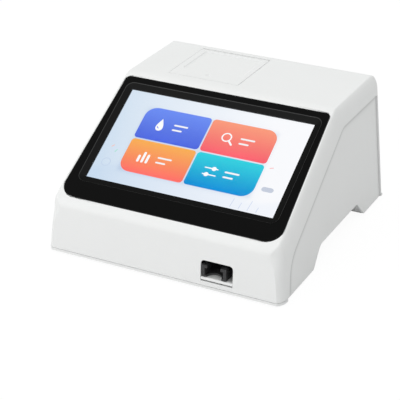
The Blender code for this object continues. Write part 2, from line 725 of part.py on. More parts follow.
def make_casing():
    casing = casing_shape("upper_casing", 0, 0, "white_shell")
    cut(casing, casing_shape("casing_inside", CASE_WALL, OVERRUN))
    for side in (-1, 1):
        for back, place in (
            (BOSS_FRONT, "front"),
            (DEPTH - BOSS_REAR, "rear"),
        ):
            name = f"casing_boss_{place}_{side}"
            centre = (side * (HALF_WIDTH - BOSS_SIDE), back)
            low = PAD_TOP + GAP
            join(casing, rod(name, "Z", BOSS_RADIUS, low, low + BOSS_HEIGHT, centre, device))
            hole = rod(
                name + "_bore", "Z", SCREW_RADIUS + RUN, low - OVERRUN, low + SCREW_LENGTH,
                centre, device,
            )
            cut(casing, hole)
    window = side_window_corners()
    low = FOOT_HEIGHT - OVERRUN
    window[0] = meet(window[0], window[4] - np.array(window[0]), (0, low), (1, 0))
    window[1] = (DEPTH - SIDE_WINDOW_REAR, low)
    radii = (
        0, 0, SIDE_WINDOW_REAR_RADIUS, SIDE_WINDOW_RIDGE_RADIUS, SIDE_WINDOW_KNEE_RADIUS
    )
    for side in (-1, 1):
        near = side * (half_width(TOP_HEIGHT) - CASE_WALL - OVERRUN)
        far = side * (HALF_WIDTH + OVERRUN)
        cut(casing, prism(
            f"side_window_{side}", rounded(window, radii), min(near, far), max(near, far),
            "YZ", device,
        ))
    outline = [(u + math.copysign(GAP, u), v) for u, v in bezel_outline(GAP)]
    cut(casing, prism("bezel_opening", outline, -CASE_WALL * 4, OVERRUN, "XY", slope_frame))
    slot = rounded(
        [(SLOT_LEFT, SLOT_LOW), (SLOT_LEFT + SLOT_WIDTH, SLOT_LOW),
         (SLOT_LEFT + SLOT_WIDTH, SLOT_HIGH), (SLOT_LEFT, SLOT_HIGH)],
        (0, 0, SLOT_RADIUS, SLOT_RADIUS),
    )
    cut(casing, prism("card_slot", slot, -CASE_WALL * 3, OVERRUN, "XZ", device))
    left, right = LID_CENTRE - LID_HALF - LID_GAP, LID_CENTRE + LID_HALF + LID_GAP
    lid = rounded(
        [(left, LID_FRONT - LID_GAP), (right, LID_FRONT - LID_GAP),
         (right, LID_REAR + LID_GAP), (left, LID_REAR + LID_GAP)],
        (LID_CORNER_RADIUS, LID_CORNER_RADIUS, 0, 0),
    )
    cut(casing, prism(
        "printer_opening", lid, TOP_HEIGHT - CASE_WALL - OVERRUN, TOP_HEIGHT + OVERRUN,
        "XY", device,
    ))
    rear = rectangle(
        (-REAR_PANEL_WIDTH / 2 - GAP, REAR_PANEL_WIDTH / 2 + GAP),
        (REAR_PANEL_LOW - GAP, REAR_PANEL_HIGH + GAP), REAR_PANEL_RADIUS,
    )
    cut(casing, prism("rear_opening", rear, -OVERRUN, CASE_WALL + OVERRUN, "XZ", rear_frame))


def make_side_panels():
    window = side_window_corners()
    window = inset(window, (0, GAP, GAP, GAP, GAP))
    front, rear, rear_top, ridge, knee = window
    top = ARCH_TOP
    corners = [
        front,
        (arch_side(FOOT_HEIGHT), FOOT_HEIGHT), (arch_side(top), top),
        (arch_side(top, True), top), (arch_side(FOOT_HEIGHT, True), FOOT_HEIGHT),
        rear, rear_top, ridge, knee,
    ]
    radii = (
        0, FOOT_CORNER_RADIUS, ARCH_FRONT_RADIUS, ARCH_REAR_RADIUS, FOOT_CORNER_RADIUS,
        0, SIDE_WINDOW_REAR_RADIUS, SIDE_WINDOW_RIDGE_RADIUS, SIDE_WINDOW_KNEE_RADIUS,
    )
    outline = rounded(corners, radii)
    for side, name in ((-1, "left_side_panel"), (1, "right_side_panel")):
        panel = prism(name, outline, 0, SIDE_THICKNESS, "YZ", device, "white_shell")
        for vertex in panel.data.vertices:
            inward = SIDE_RECESS + vertex.co.x
            vertex.co.x = side * (half_width(vertex.co.z) - inward)
        face_out(panel.data)


def make_base():
    inner = half_width(BASE_TOP) - SIDE_RECESS - SIDE_THICKNESS - GAP
    front = SIDE_WINDOW_FRONT - GAP
    rear = DEPTH - SIDE_WINDOW_REAR + GAP
    corners = [(-HALF_WIDTH, 0), (HALF_WIDTH, 0), (HALF_WIDTH, DEPTH), (-HALF_WIDTH, DEPTH)]
    radii = (CASE_EDGE_RADIUS, CASE_EDGE_RADIUS, 0, 0)
    base = prism(
        "base_plate", rounded(corners, radii), FOOT_HEIGHT, BASE_TOP, "XY", device,
        "white_shell",
    )
    for side in (-1, 1):
        near, far = side * inner, side * (HALF_WIDTH + OVERRUN)
        cut(base, block(
            f"panel_gap_{side}", (min(near, far), max(near, far)), (front, rear),
            (FOOT_HEIGHT - OVERRUN, BASE_TOP + OVERRUN), device,
        ))
    pocket_top = ARCH_TOP + POCKET_WALL
    outer = half_width(pocket_top) - SIDE_RECESS - SIDE_THICKNESS - GAP
    deep = inner - POCKET_REACH
    shell = arch_outline(FOOT_HEIGHT + SINK, POCKET_WALL)
    hollow = arch_outline(FOOT_HEIGHT - OVERRUN, 0)
    for side in (-1, 1):
        near = side * (deep - POCKET_WALL)
        join(base, prism(
            f"pocket_shell_{side}", shell, min(near, side * outer), max(near, side * outer),
            "YZ", device,
        ))
    for side in (-1, 1):
        far = side * (HALF_WIDTH + OVERRUN)
        cut(base, prism(
            f"pocket_hollow_{side}", hollow, min(side * deep, far), max(side * deep, far),
            "YZ", device,
        ))
        for back, place in ((BOSS_FRONT, "front"), (DEPTH - BOSS_REAR, "rear")):
            centre = (side * (HALF_WIDTH - BOSS_SIDE), back)
            name = f"base_pad_{place}_{side}"
            join(base, rod(name, "Z", PAD_RADIUS, BASE_TOP - SINK, PAD_TOP, centre, device))
            cut(base, rod(
                name + "_bore", "Z", SCREW_RADIUS + RUN, FOOT_HEIGHT - OVERRUN,
                PAD_TOP + OVERRUN, centre, device,
            ))
            cut(base, rod(
                name + "_head", "Z", SCREW_HEAD_RADIUS + RUN, FOOT_HEIGHT - OVERRUN,
                FOOT_HEIGHT + HEAD_POCKET_DEPTH, centre, device,
            ))
            make_base_screw(f"base_screw_{place}_{'right' if side > 0 else 'left'}", centre)
    for side in (-1, 1):
        for back, place in (
            (FRONT_FOOT_LENGTH / 2, "front"),
            (DEPTH - REAR_FOOT_LENGTH / 2, "rear"),
        ):
            centre = (side * (inner - FOOT_FROM_SIDE), back)
            name = f"rubber_foot_{place}_{'right' if side > 0 else 'left'}"
            cut(base, rod(
                name + "_seat", "Z", FOOT_RADIUS + GAP, FOOT_HEIGHT - OVERRUN,
                FOOT_HEIGHT + FOOT_SEAT, centre, device,
            ))
            rod(
                name, "Z", FOOT_RADIUS, 0, FOOT_HEIGHT + FOOT_SEAT - GAP, centre, device,
                "rubber",
            )
    for across, back in board_corners():
        join(base, rod(
            f"standoff_{across:.3f}_{back:.3f}", "Z", STANDOFF_RADIUS, BASE_TOP - SINK,
            MAIN_BOARD_BOTTOM - GAP, (across, back), device,
        ))
    middle = -HALF_WIDTH + MAIN_BOARD_LEFT + MAIN_BOARD_WIDTH / 2
    back = MAIN_BOARD_START + MAIN_BOARD_DEPTH / 2
    for i in range(VENT_COUNT):
        across = middle + (i - (VENT_COUNT - 1) / 2) * VENT_PITCH
        cut(base, block(
            f"vent_{i}", (across - VENT_WIDTH / 2, across + VENT_WIDTH / 2),
            (back - VENT_LENGTH / 2, back + VENT_LENGTH / 2),
            (FOOT_HEIGHT - OVERRUN, BASE_TOP + OVERRUN), device,
        ))


def make_base_screw(name, centre):
    top = FOOT_HEIGHT + HEAD_POCKET_DEPTH - GAP
    low = top - SCREW_HEAD_HEIGHT
    screw = rod(name, "Z", SCREW_HEAD_RADIUS, low, top, centre, device, "bright_steel")
    end = PAD_TOP + SCREW_LENGTH - OVERRUN
    join(screw, rod(
        name + "_shank", "Z", SCREW_RADIUS, top - SINK, end, centre, device, None, 12
    ))


def board_corners():
    left = -HALF_WIDTH + MAIN_BOARD_LEFT
    right = left + MAIN_BOARD_WIDTH
    rear = MAIN_BOARD_START + MAIN_BOARD_DEPTH
    return [
        (across, back)
        for across in (left + STANDOFF_INSET, right - STANDOFF_INSET)
        for back in (MAIN_BOARD_START + STANDOFF_INSET, rear - STANDOFF_INSET)
    ]


def make_main_board():
    left = -HALF_WIDTH + MAIN_BOARD_LEFT
    right = left + MAIN_BOARD_WIDTH
    rear = MAIN_BOARD_START + MAIN_BOARD_DEPTH
    top = MAIN_BOARD_BOTTOM + BOARD_THICKNESS
    board = block(
        "main_board", (left, right), (MAIN_BOARD_START, rear), (MAIN_BOARD_BOTTOM, top),
        device, "board",
    )
    middle, centre = (left + right) / 2, (MAIN_BOARD_START + rear) / 2
    join(board, block(
        "heat_sink", (middle - HEAT_SINK_SIZE / 2, middle + HEAT_SINK_SIZE / 2),
        (centre - HEAT_SINK_SIZE / 2, centre + HEAT_SINK_SIZE / 2),
        (top - SINK, top + HEAT_SINK_HEIGHT), device,
    ))
    for i, edge in enumerate((MAIN_BOARD_START + HEADER_WIDTH, rear - HEADER_WIDTH)):
        join(board, block(
            f"header_{i}", (middle - HEADER_LENGTH / 2, middle + HEADER_LENGTH / 2),
            (edge - HEADER_WIDTH / 2, edge + HEADER_WIDTH / 2),
            (top - SINK, top + HEADER_HEIGHT), device,
        ))
    centre = (-HALF_WIDTH + SPEAKER_FROM_LEFT, SPEAKER_FROM_FRONT)
    low = BASE_TOP + GAP
    speaker = rod(
        "loudspeaker", "Z", SPEAKER_RADIUS, low, low + SPEAKER_HEIGHT, centre, device,
        "black_matte", WIDE_SIDES,
    )
    cut(speaker, rod(
        "speaker_cone", "Z", SPEAKER_CONE, low + SPEAKER_HEIGHT / 2,
        low + SPEAKER_HEIGHT + SINK, centre, device, None, WIDE_SIDES,
        SPEAKER_RADIUS - SPEAKER_RIM,
    ))


def bezel_outline(grow):
    """The bezel's outer edge on the sloping face: it narrows upward as the casing does."""
    low, high = BEZEL_START - grow, BEZEL_END + grow
    corners = [
        (-bezel_half(low), low), (bezel_half(low), low),
        (bezel_half(high), high), (-bezel_half(high), high),
    ]
    return rounded(corners, (
        BEZEL_BOTTOM_RADIUS, BEZEL_BOTTOM_RADIUS, BEZEL_TOP_RADIUS, BEZEL_TOP_RADIUS
    ))


def make_screen():
    half = DISPLAY_WIDTH / 2
    bezel = prism(
        "screen_bezel", bezel_outline(0), -BEZEL_THICKNESS, 0, "XY", slope_frame,
        "black_gloss",
    )
    spots = [
        (side * (bezel_half(up) - BEZEL_BOSS_INSET), up)
        for side in (-1, 1)
        for up in (DISPLAY_START + BEZEL_BOSS_LOW, DISPLAY_END - BEZEL_BOSS_HIGH)
    ]
    for i, spot in enumerate(spots):
        join(bezel, rod(
            f"bezel_boss_{i}", "Z", BEZEL_BOSS_RADIUS, BRACKET_TOP + GAP,
            -BEZEL_THICKNESS + SINK, spot, slope_frame, None, 12,
        ))
    open_half = half + WINDOW_MARGIN
    low, high = DISPLAY_START - WINDOW_MARGIN, DISPLAY_END + WINDOW_MARGIN
    cut(bezel, block(
        "display_window", (-open_half, open_half), (low, high),
        (-BEZEL_THICKNESS - OVERRUN, OVERRUN), slope_frame,
    ))
    chamfer = block(
        "display_chamfer", (-open_half, open_half), (low, high), (-CHAMFER_DEPTH, OVERRUN),
        slope_frame,
    )
    widen = CHAMFER_WIDTH * (CHAMFER_DEPTH + OVERRUN) / CHAMFER_DEPTH
    for vertex in chamfer.data.vertices:
        if vertex.co.z > 0:
            vertex.co.x += math.copysign(widen, vertex.co.x)
            vertex.co.y += math.copysign(widen, vertex.co.y)
    cut(bezel, chamfer)
    glass_half = half + GLASS_BORDER
    glass_low, glass_high = DISPLAY_START - PANEL_BORDER_LOW, DISPLAY_END + PANEL_BORDER_HIGH
    cut(bezel, block(
        "glass_pocket", (-glass_half - GAP, glass_half + GAP),
        (glass_low - GAP, glass_high + GAP),
        (-BEZEL_THICKNESS - OVERRUN, -CHAMFER_DEPTH - LIP_THICKNESS), slope_frame,
    ))
    block(
        "touch_glass", (-glass_half, glass_half), (glass_low, glass_high),
        (GLASS_TOP - GLASS_THICKNESS, GLASS_TOP), slope_frame, "clear_glass",
    )
    block(
        "display_panel", (-glass_half, glass_half), (glass_low, glass_high),
        (LCD_BOTTOM, LCD_TOP), slope_frame, "display",
    )
    reach = max(abs(across) for across, up in spots) + BRACKET_RIM
    low = min(glass_low, spots[0][1]) - BRACKET_RIM
    high = glass_high + BRACKET_RIM
    bottom = BRACKET_TOP - BRACKET_THICKNESS
    bracket = block(
        "display_bracket", (-reach, reach), (low, high), (bottom, BRACKET_TOP), slope_frame,
        "sheet_steel",
    )
    for side in (-1, 1):
        near, far = side * BRACKET_RIB, side * (reach - BRACKET_CUT_RIM)
        cut(bracket, block(
            f"bracket_window_{side}", (min(near, far), max(near, far)),
            (low + BRACKET_CUT_RIM, high - BRACKET_CUT_RIM),
            (bottom - OVERRUN, BRACKET_TOP + OVERRUN), slope_frame,
        ))


def make_tray():
    """The tray and what rides on it. Its frame is the joint's."""
    front = front_back(TRAY_BOTTOM) + TRAY_SET_BACK
    tray_frame = empty("tray_frame", device, (TRAY_MIDDLE, front, TRAY_TOP))
    shift = -Vector((TRAY_MIDDLE, front, TRAY_TOP))

    def on_tray(obj):
        obj.parent = tray_frame
        obj.location = obj.location + shift
        return obj

    tray = on_tray(block(
        "card_tray", (TRAY_LEFT, TRAY_RIGHT), (front, front + TRAY_DEPTH),
        (TRAY_BOTTOM, TRAY_TOP), device, "white_inner",
    ))
    lug_end = LUG_START + LUG_LENGTH
    join(tray, on_tray(block(
        "lug_right", (TRAY_RIGHT - SINK, LUG_OUTER_RIGHT), (LUG_START, lug_end),
        (TRAY_BOTTOM - LUG_RISE, TRAY_TOP + LUG_RISE), device,
    )))
    join(tray, on_tray(block(
        "lug_left", (LUG_OUTER_LEFT, TRAY_LEFT + SINK), (LUG_START, lug_end),
        (TRAY_BOTTOM - LUG_RISE, LEAD_HEIGHT + NUT_RADIUS + NUT_BLOCK_MARGIN), device,
    )))
    for across, name in ((ROD_LEFT, "left"), (ROD_RIGHT, "right")):
        cut(tray, on_tray(rod(
            f"rod_bore_{name}", "Y", ROD_RADIUS + RUN, LUG_START - OVERRUN,
            lug_end + OVERRUN, (across, ROD_HEIGHT), device,
        )))
    cut(tray, on_tray(rod(
        "nut_seat", "Y", NUT_RADIUS + GAP, LUG_START - OVERRUN, lug_end + OVERRUN,
        (LEAD_ACROSS, LEAD_HEIGHT), device,
    )))
    nut = on_tray(rod(
        "tray_nut", "Y", NUT_RADIUS, LUG_START - NUT_FLANGE, lug_end,
        (LEAD_ACROSS, LEAD_HEIGHT), device, "brass",
    ))
    join(nut, on_tray(rod(
        "nut_flange", "Y", NUT_FLANGE_RADIUS, LUG_START - GAP - NUT_FLANGE, LUG_START - GAP,
        (LEAD_ACROSS, LEAD_HEIGHT), device,
    )))
    cut(nut, on_tray(rod(
        "nut_bore", "Y", LEAD_RADIUS + RUN, LUG_START - OVERRUN, lug_end + OVERRUN,
        (LEAD_ACROSS, LEAD_HEIGHT), device,
    )))
    start = front + HOLDER_SET_BACK
    end = start + HOLDER_DEPTH
    holder = on_tray(block(
        "card_holder", (HOLDER_LEFT, HOLDER_RIGHT), (start, end),
        (HOLDER_BOTTOM, HOLDER_TOP), device, "black_matte",
    ))
    inner_left, inner_right = HOLDER_LEFT + HOLDER_WALL, HOLDER_RIGHT - HOLDER_WALL
    floor = HOLDER_BOTTOM + HOLDER_FLOOR
    cut(holder, on_tray(block(
        "card_space", (inner_left, inner_right), (start - OVERRUN, end - HOLDER_WALL),
        (floor, HOLDER_TOP - CLAW_THICKNESS), device,
    )))
    cut(holder, on_tray(block(
        "claw_space", (inner_left + CLAW_REACH, inner_right - CLAW_REACH),
        (start - OVERRUN, end - HOLDER_WALL), (floor + SINK, HOLDER_TOP + OVERRUN), device,
    )))
    cut(holder, on_tray(block(
        "holder_top_cut", (HOLDER_LEFT - OVERRUN, HOLDER_RIGHT + OVERRUN),
        (start + CLAW_DEPTH, end + OVERRUN),
        (HOLDER_BOTTOM + CARD_RAIL_HEIGHT, HOLDER_TOP + OVERRUN), device,
    )))
    cut(holder, on_tray(rod(
        "finger_scoop", "Z", SCOOP_RADIUS, HOLDER_BOTTOM - OVERRUN, floor + SINK,
        (HOLDER_MIDDLE, start), device,
    )))


def make_transport():
    rear = FRAME_END
    frame = block(
        "transport_frame", (FRAME_LEFT, FRAME_RIGHT), (FRAME_START, rear),
        (FRAME_BOTTOM, FRAME_FLOOR), device, "sheet_steel",
    )
    low = FRAME_FLOOR - SINK
    join(frame, block(
        "front_upright", (FRAME_LEFT, FRAME_RIGHT), (FRAME_START, FRAME_START + FRAME_SHEET),
        (low, FRAME_FLOOR + FRONT_UPRIGHT_HEIGHT), device,
    ))
    join(frame, block(
        "rear_upright", (FRAME_LEFT, FRAME_RIGHT), (rear - FRAME_SHEET, rear),
        (low, FRAME_FLOOR + REAR_UPRIGHT_HEIGHT), device,
    ))
    shield_inner = SLOT_WIDTH / 2 + SHIELD_CLEARANCE / 2
    shield_outer = shield_inner + SHIELD_WALL
    cut(frame, block(
        "tray_notch", (TRAY_MIDDLE - shield_outer - GAP, TRAY_MIDDLE + shield_outer + GAP),
        (FRAME_START - OVERRUN, FRAME_START + FRAME_SHEET + OVERRUN),
        (TRAY_BOTTOM - TRAY_SLIT, HOLDER_TOP + OVERRUN), device,
    ))
    for across, name in ((ROD_LEFT, "left"), (ROD_RIGHT, "right")):
        for back, place in ((FRAME_START, "front"), (rear - FRAME_SHEET, "rear")):
            cut(frame, rod(
                f"rod_hole_{name}_{place}", "Y", ROD_RADIUS + GAP, back - OVERRUN,
                back + FRAME_SHEET + OVERRUN, (across, ROD_HEIGHT), device,
            ))
        rod(
            f"guide_rod_{name}", "Y", ROD_RADIUS, FRAME_START, rear,
            (across, ROD_HEIGHT), device, "bright_steel",
        )
    place = (LEAD_ACROSS, LEAD_HEIGHT)
    cut(frame, rod(
        "bearing_hole", "Y", BEARING_RADIUS + GAP, FRAME_START - OVERRUN,
        FRAME_START + FRAME_SHEET + OVERRUN, place, device,
    ))
    cut(frame, rod(
        "screw_hole", "Y", BEARING_RADIUS, rear - FRAME_SHEET - OVERRUN, rear + OVERRUN,
        place, device,
    ))
    bearing_end = FRAME_START + FRAME_SHEET + GAP
    bearing = rod(
        "screw_bearing", "Y", BEARING_RADIUS, FRAME_START, bearing_end + SINK, place, device,
        "brass",
    )
    join(bearing, rod(
        "bearing_flange", "Y", BEARING_FLANGE, bearing_end,
        bearing_end + BEARING_FLANGE_THICKNESS, place, device,
    ))
    cut(bearing, rod(
        "bearing_bore", "Y", LEAD_RADIUS + RUN, FRAME_START - OVERRUN,
        bearing_end + OVERRUN, place, device,
    ))
    screw_frame = empty("screw_frame", device, (LEAD_ACROSS, FRAME_START, LEAD_HEIGHT))
    motor_start = rear + GAP
    screw = rod(
        "lead_screw", "Y", LEAD_RADIUS, FRAME_START, motor_start + SCREW_TAIL, place, device,
        "bright_steel",
    )
    screw.parent = screw_frame
    screw.location = screw.location - screw_frame.location
    motor = rod(
        "stepper_motor", "Y", MOTOR_RADIUS, motor_start, motor_start + MOTOR_LENGTH, place,
        device, "sheet_steel", WIDE_SIDES,
    )
    join(motor, block(
        "motor_ears", (LEAD_ACROSS - MOTOR_EAR_WIDTH / 2, LEAD_ACROSS + MOTOR_EAR_WIDTH / 2),
        (motor_start, motor_start + MOTOR_EAR_THICKNESS),
        (LEAD_HEIGHT - MOTOR_EAR_HEIGHT / 2, LEAD_HEIGHT + MOTOR_EAR_HEIGHT / 2), device,
    ))
    cut(motor, rod(
        "motor_bore", "Y", LEAD_RADIUS + RUN, motor_start - OVERRUN,
        motor_start + SCREW_TAIL + GAP, place, device,
    ))
    roof = HOLDER_TOP + SHIELD_OVER_HOLDER
    end = SHIELD_START + SHIELD_SKIRT_LENGTH
    shield = block(
        "light_shield", (TRAY_MIDDLE - shield_outer, TRAY_MIDDLE + shield_outer),
        (SHIELD_START, SHIELD_START + SHIELD_ROOF_LENGTH),
        (TRAY_BOTTOM - TRAY_SLIT + GAP, roof + SHIELD_WALL), device, "black_matte",
    )
    cut(shield, block(
        "shield_inside", (TRAY_MIDDLE - shield_inner, TRAY_MIDDLE + shield_inner),
        (SHIELD_START - OVERRUN, SHIELD_START + SHIELD_ROOF_LENGTH + OVERRUN),
        (FRAME_BOTTOM, roof), device,
    ))
    cut(shield, block(
        "shield_end", (TRAY_MIDDLE - shield_outer - OVERRUN,
                       TRAY_MIDDLE + shield_outer + OVERRUN),
        (end, SHIELD_START + SHIELD_ROOF_LENGTH + OVERRUN), (FRAME_BOTTOM, roof - SINK),
        device,
    ))


def lens_profile(radius, edge, thickness):
    """Half of a lens in section, from its upper middle round the rim to its lower middle."""
    bulge = (thickness - edge) / 2
    curve = (radius ** 2 + bulge ** 2) / (2 * bulge)
    sweep = math.asin(radius / curve)
    top = [
        (curve * math.sin(share * sweep),
         thickness / 2 - curve + curve * math.cos(share * sweep))
        for share in np.linspace(0, 1, 4)
    ]
    return top + [(across, -up) for across, up in reversed(top)]


def make_optics():
    left = LUG_OUTER_LEFT - BRIDGE_SIDE_CLEARANCE - BRIDGE_SHEET
    right = LUG_OUTER_RIGHT + BRIDGE_SIDE_CLEARANCE + BRIDGE_SHEET
    span = (BRIDGE_START, BRIDGE_START + BRIDGE_LENGTH)
    bridge = block(
        "optics_bridge", (left, right), span, (FRAME_FLOOR + GAP, BRIDGE_TOP), device,
        "sheet_steel",
    )
    cut(bridge, block(
        "bridge_inside", (left + BRIDGE_SHEET, right - BRIDGE_SHEET),
        (span[0] - OVERRUN, span[1] + OVERRUN), (FRAME_BOTTOM, BRIDGE_BOTTOM), device,
    ))
    centre = (HOLDER_MIDDLE, HEAD_BACK)
    cut(bridge, rod(
        "bridge_window", "Z", HEAD_BORE_RADIUS, BRIDGE_BOTTOM - OVERRUN,
        BRIDGE_TOP + OVERRUN, centre, device,
    ))
    head_left = HOLDER_MIDDLE - HEAD_WIDTH / 2
    head = block(
        "optical_head", (head_left, HOLDER_MIDDLE + HEAD_WIDTH / 2),
        (HEAD_BACK - HEAD_DEPTH / 2, HEAD_BACK + HEAD_DEPTH / 2), (HEAD_BOTTOM, HEAD_TOP),
        device, "anodised",
    )
    cut(head, rod(
        "head_bore", "Z", HEAD_BORE_RADIUS, HEAD_BOTTOM - OVERRUN, HEAD_TOP + OVERRUN,
        centre, device, None, WIDE_SIDES,
    ))
    cut(head, rod(
        "lamp_bore", "X", LAMP_BORE_RADIUS, head_left - OVERRUN, HOLDER_MIDDLE,
        (HEAD_BACK, LAMP_HEIGHT), device,
    ))
    lens = bpy.data.meshes.new("objective_lens")
    profile = lens_profile(HEAD_BORE_RADIUS - GAP, LENS_EDGE, LENS_THICKNESS)
    lens.from_pydata([(across, 0, up) for across, up in profile],
                     [(i, i + 1) for i in range(len(profile) - 1)], [])
    low = HEAD_BOTTOM + LENS_FROM_BOTTOM
    turned = add("objective_lens", lens, device, "clear_glass",
                 (*centre, low + LENS_THICKNESS / 2))
    screw = turned.modifiers.new("turn", "SCREW")
    screw.steps = WIDE_SIDES
    screw.render_steps = WIDE_SIDES
    screw.use_merge_vertices = True
    screw.merge_threshold = MERGE
    filter_top = HEAD_TOP - DIODE_HEIGHT - GAP
    rod(
        "emission_filter", "Z", HEAD_BORE_RADIUS - GAP, filter_top - FILTER_THICKNESS,
        filter_top, centre, device, "tinted_glass",
    )
    rod(
        "photodiode", "Z", DIODE_RADIUS, HEAD_TOP - DIODE_HEIGHT, HEAD_TOP, centre, device,
        "bright_steel",
    )
    block(
        "detector_board",
        (head_left + DETECTOR_BOARD_MARGIN, HOLDER_MIDDLE + HEAD_WIDTH / 2),
        (HEAD_BACK - HEAD_DEPTH / 2 + DETECTOR_BOARD_MARGIN,
         HEAD_BACK + HEAD_DEPTH / 2 - DETECTOR_BOARD_MARGIN),
        (HEAD_TOP + GAP, HEAD_TOP + GAP + BOARD_THICKNESS), device, "board",
    )
    rod(
        "excitation_filter", "X", LAMP_BORE_RADIUS - GAP,
        head_left + LAMP_FILTER_FROM_SIDE,
        head_left + LAMP_FILTER_FROM_SIDE + LAMP_FILTER_THICKNESS,
        (HEAD_BACK, LAMP_HEIGHT), device, "tinted_glass",
    )
    lamp = rod(
        "excitation_lamp", "X", LAMP_BORE_RADIUS - GAP, head_left - GAP - SINK,
        head_left + LAMP_PLUG_DEPTH, (HEAD_BACK, LAMP_HEIGHT), device, "anodised",
    )
    join(lamp, rod(
        "lamp_flange", "X", LAMP_FLANGE_RADIUS, head_left - GAP - LAMP_FLANGE,
        head_left - GAP, (HEAD_BACK, LAMP_HEIGHT), device,
    ))
    mirror = block(
        "dichroic_mirror", (-MIRROR_HALF_RUN * math.sqrt(2), MIRROR_HALF_RUN * math.sqrt(2)),
        (-MIRROR_HALF_WIDTH, MIRROR_HALF_WIDTH),
        (-MIRROR_THICKNESS / 2, MIRROR_THICKNESS / 2), device, "clear_glass",
    )
    mirror.location = (*centre, LAMP_HEIGHT)
    mirror.rotation_euler = (0, math.pi / 4, 0)


def gear_outline(teeth, turn):
    """A gear's teeth as four points each, in shares of the tooth pitch and of the module."""
    pitch_radius = GEAR_MODULE * teeth / 2
    pitch = 2 * math.pi / teeth
    tip = pitch_radius + GEAR_MODULE * ADDENDUM_SHARE
    root = pitch_radius - GEAR_MODULE * DEDENDUM_SHARE
    outline = []
    for tooth in range(teeth):
        middle = (tooth + turn) * pitch
        for radius, share in (
            (root, -TOOTH_ROOT_SHARE), (pitch_radius, -TOOTH_PITCH_SHARE),
            (tip, -TOOTH_TIP_SHARE), (tip, TOOTH_TIP_SHARE),
            (pitch_radius, TOOTH_PITCH_SHARE), (root, TOOTH_ROOT_SHARE),
        ):
            angle = middle + share * pitch / 2
            outline.append((radius * math.cos(angle), radius * math.sin(angle)))
    return outline


def make_lid():
    """The lid turns about its rear barrel, and carries the platen at its front edge."""
    hinge = Vector((LID_CENTRE, HINGE_BACK, HINGE_HEIGHT))
    lid_frame = empty("lid_frame", device, hinge)

    def on_lid(obj, frame=lid_frame, at=hinge):
        obj.parent = frame
        obj.location = obj.location - at
        return obj

    outline = rounded(
        [(LID_CENTRE - LID_HALF, LID_FRONT), (LID_CENTRE + LID_HALF, LID_FRONT),
         (LID_CENTRE + LID_HALF, HINGE_BACK), (LID_CENTRE - LID_HALF, HINGE_BACK)],
        (LID_CORNER_RADIUS, LID_CORNER_RADIUS, 0, 0),
    )
    lid = on_lid(prism(
        "printer_lid", outline, LID_BOTTOM, TOP_HEIGHT, "XY", device, "white_shell"
    ))
    join(lid, on_lid(rod(
        "lid_barrel", "X", BARREL_RADIUS, LID_CENTRE - LID_HALF, LID_CENTRE + LID_HALF,
        (HINGE_BACK, HINGE_HEIGHT), device,
    )))
    cut(lid, on_lid(rod(
        "pin_bore", "X", PIN_RADIUS + RUN, LID_CENTRE - LID_HALF - OVERRUN,
        LID_CENTRE + LID_HALF + OVERRUN, (HINGE_BACK, HINGE_HEIGHT), device, None, 12,
    )))
    for side in (-1, 1):
        inner, outer = LID_CENTRE + side * ARM_INNER, LID_CENTRE + side * ARM_OUTER
        join(lid, on_lid(block(
            f"platen_arm_{side}", (min(inner, outer), max(inner, outer)),
            (PLATEN_BACK - ARM_HALF_LENGTH, PLATEN_BACK + ARM_HALF_LENGTH),
            (PLATEN_HEIGHT - ARM_BELOW_SHAFT, LID_BOTTOM + SINK), device,
        )))
    cut(lid, on_lid(rod(
        "platen_bore", "X", PLATEN_SHAFT_RADIUS + RUN, LID_CENTRE - GEAR_OUTER,
        LID_CENTRE + GEAR_OUTER, (PLATEN_BACK, PLATEN_HEIGHT), device, None, 16,
    )))
    cut(lid, on_lid(block(
        "lid_recess", (LID_CENTRE - LID_RECESS_WIDTH / 2, LID_CENTRE + LID_RECESS_WIDTH / 2),
        (LID_FRONT + LID_RECESS_FRONT, LID_REAR - LID_RECESS_REAR),
        (TOP_HEIGHT - LID_RECESS_DEPTH, TOP_HEIGHT + OVERRUN), device,
    )))
    cut(lid, on_lid(rod(
        "lid_dimple", "Z", DIMPLE_RADIUS, TOP_HEIGHT - DIMPLE_DEPTH, TOP_HEIGHT + OVERRUN,
        (LID_CENTRE, LID_FRONT + DIMPLE_FROM_FRONT), device, None, 16,
    )))
    rod(
        "lid_hinge_pin", "X", PIN_RADIUS, LID_CENTRE - LID_HALF - PIN_REACH,
        LID_CENTRE + LID_HALF + PIN_REACH, (HINGE_BACK, HINGE_HEIGHT), device,
        "bright_steel", 12,
    )
    place = (PLATEN_BACK, PLATEN_HEIGHT)
    axis = Vector((LID_CENTRE, *place))
    platen_frame = empty("platen_frame", lid_frame, axis - hinge)
    shaft = rod(
        "platen_shaft", "X", PLATEN_SHAFT_RADIUS, LID_CENTRE - ARM_OUTER - ARM_SIDE_GAP,
        LID_CENTRE + GEAR_OUTER, place, device, "bright_steel", 16,
    )
    sleeve = rod(
        "platen_sleeve", "X", PLATEN_RADIUS, LID_CENTRE - PLATEN_LENGTH / 2,
        LID_CENTRE + PLATEN_LENGTH / 2, place, device, "rubber",
    )
    sleeve_bore = rod(
        "sleeve_bore", "X", PLATEN_SHAFT_RADIUS + GAP, LID_CENTRE - PLATEN_LENGTH,
        LID_CENTRE + PLATEN_LENGTH, place, device, None, 16,
    )
    gear = prism(
        "platen_gear", gear_outline(PLATEN_TEETH, 0), LID_CENTRE + GEAR_INNER,
        LID_CENTRE + GEAR_OUTER, "YZ", device, "gear_plastic",
    )
    gear.location = (0, *place)
    gear.rotation_euler = (PINION_ANGLE, 0, 0)
    gear_bore = rod(
        "gear_bore", "X", PLATEN_SHAFT_RADIUS + GAP, LID_CENTRE,
        LID_CENTRE + GEAR_OUTER + OVERRUN, place, device, None, 16,
    )
    for obj in (shaft, sleeve, sleeve_bore, gear, gear_bore):
        on_lid(obj, platen_frame, axis)
    cut(sleeve, sleeve_bore)
    cut(gear, gear_bore)


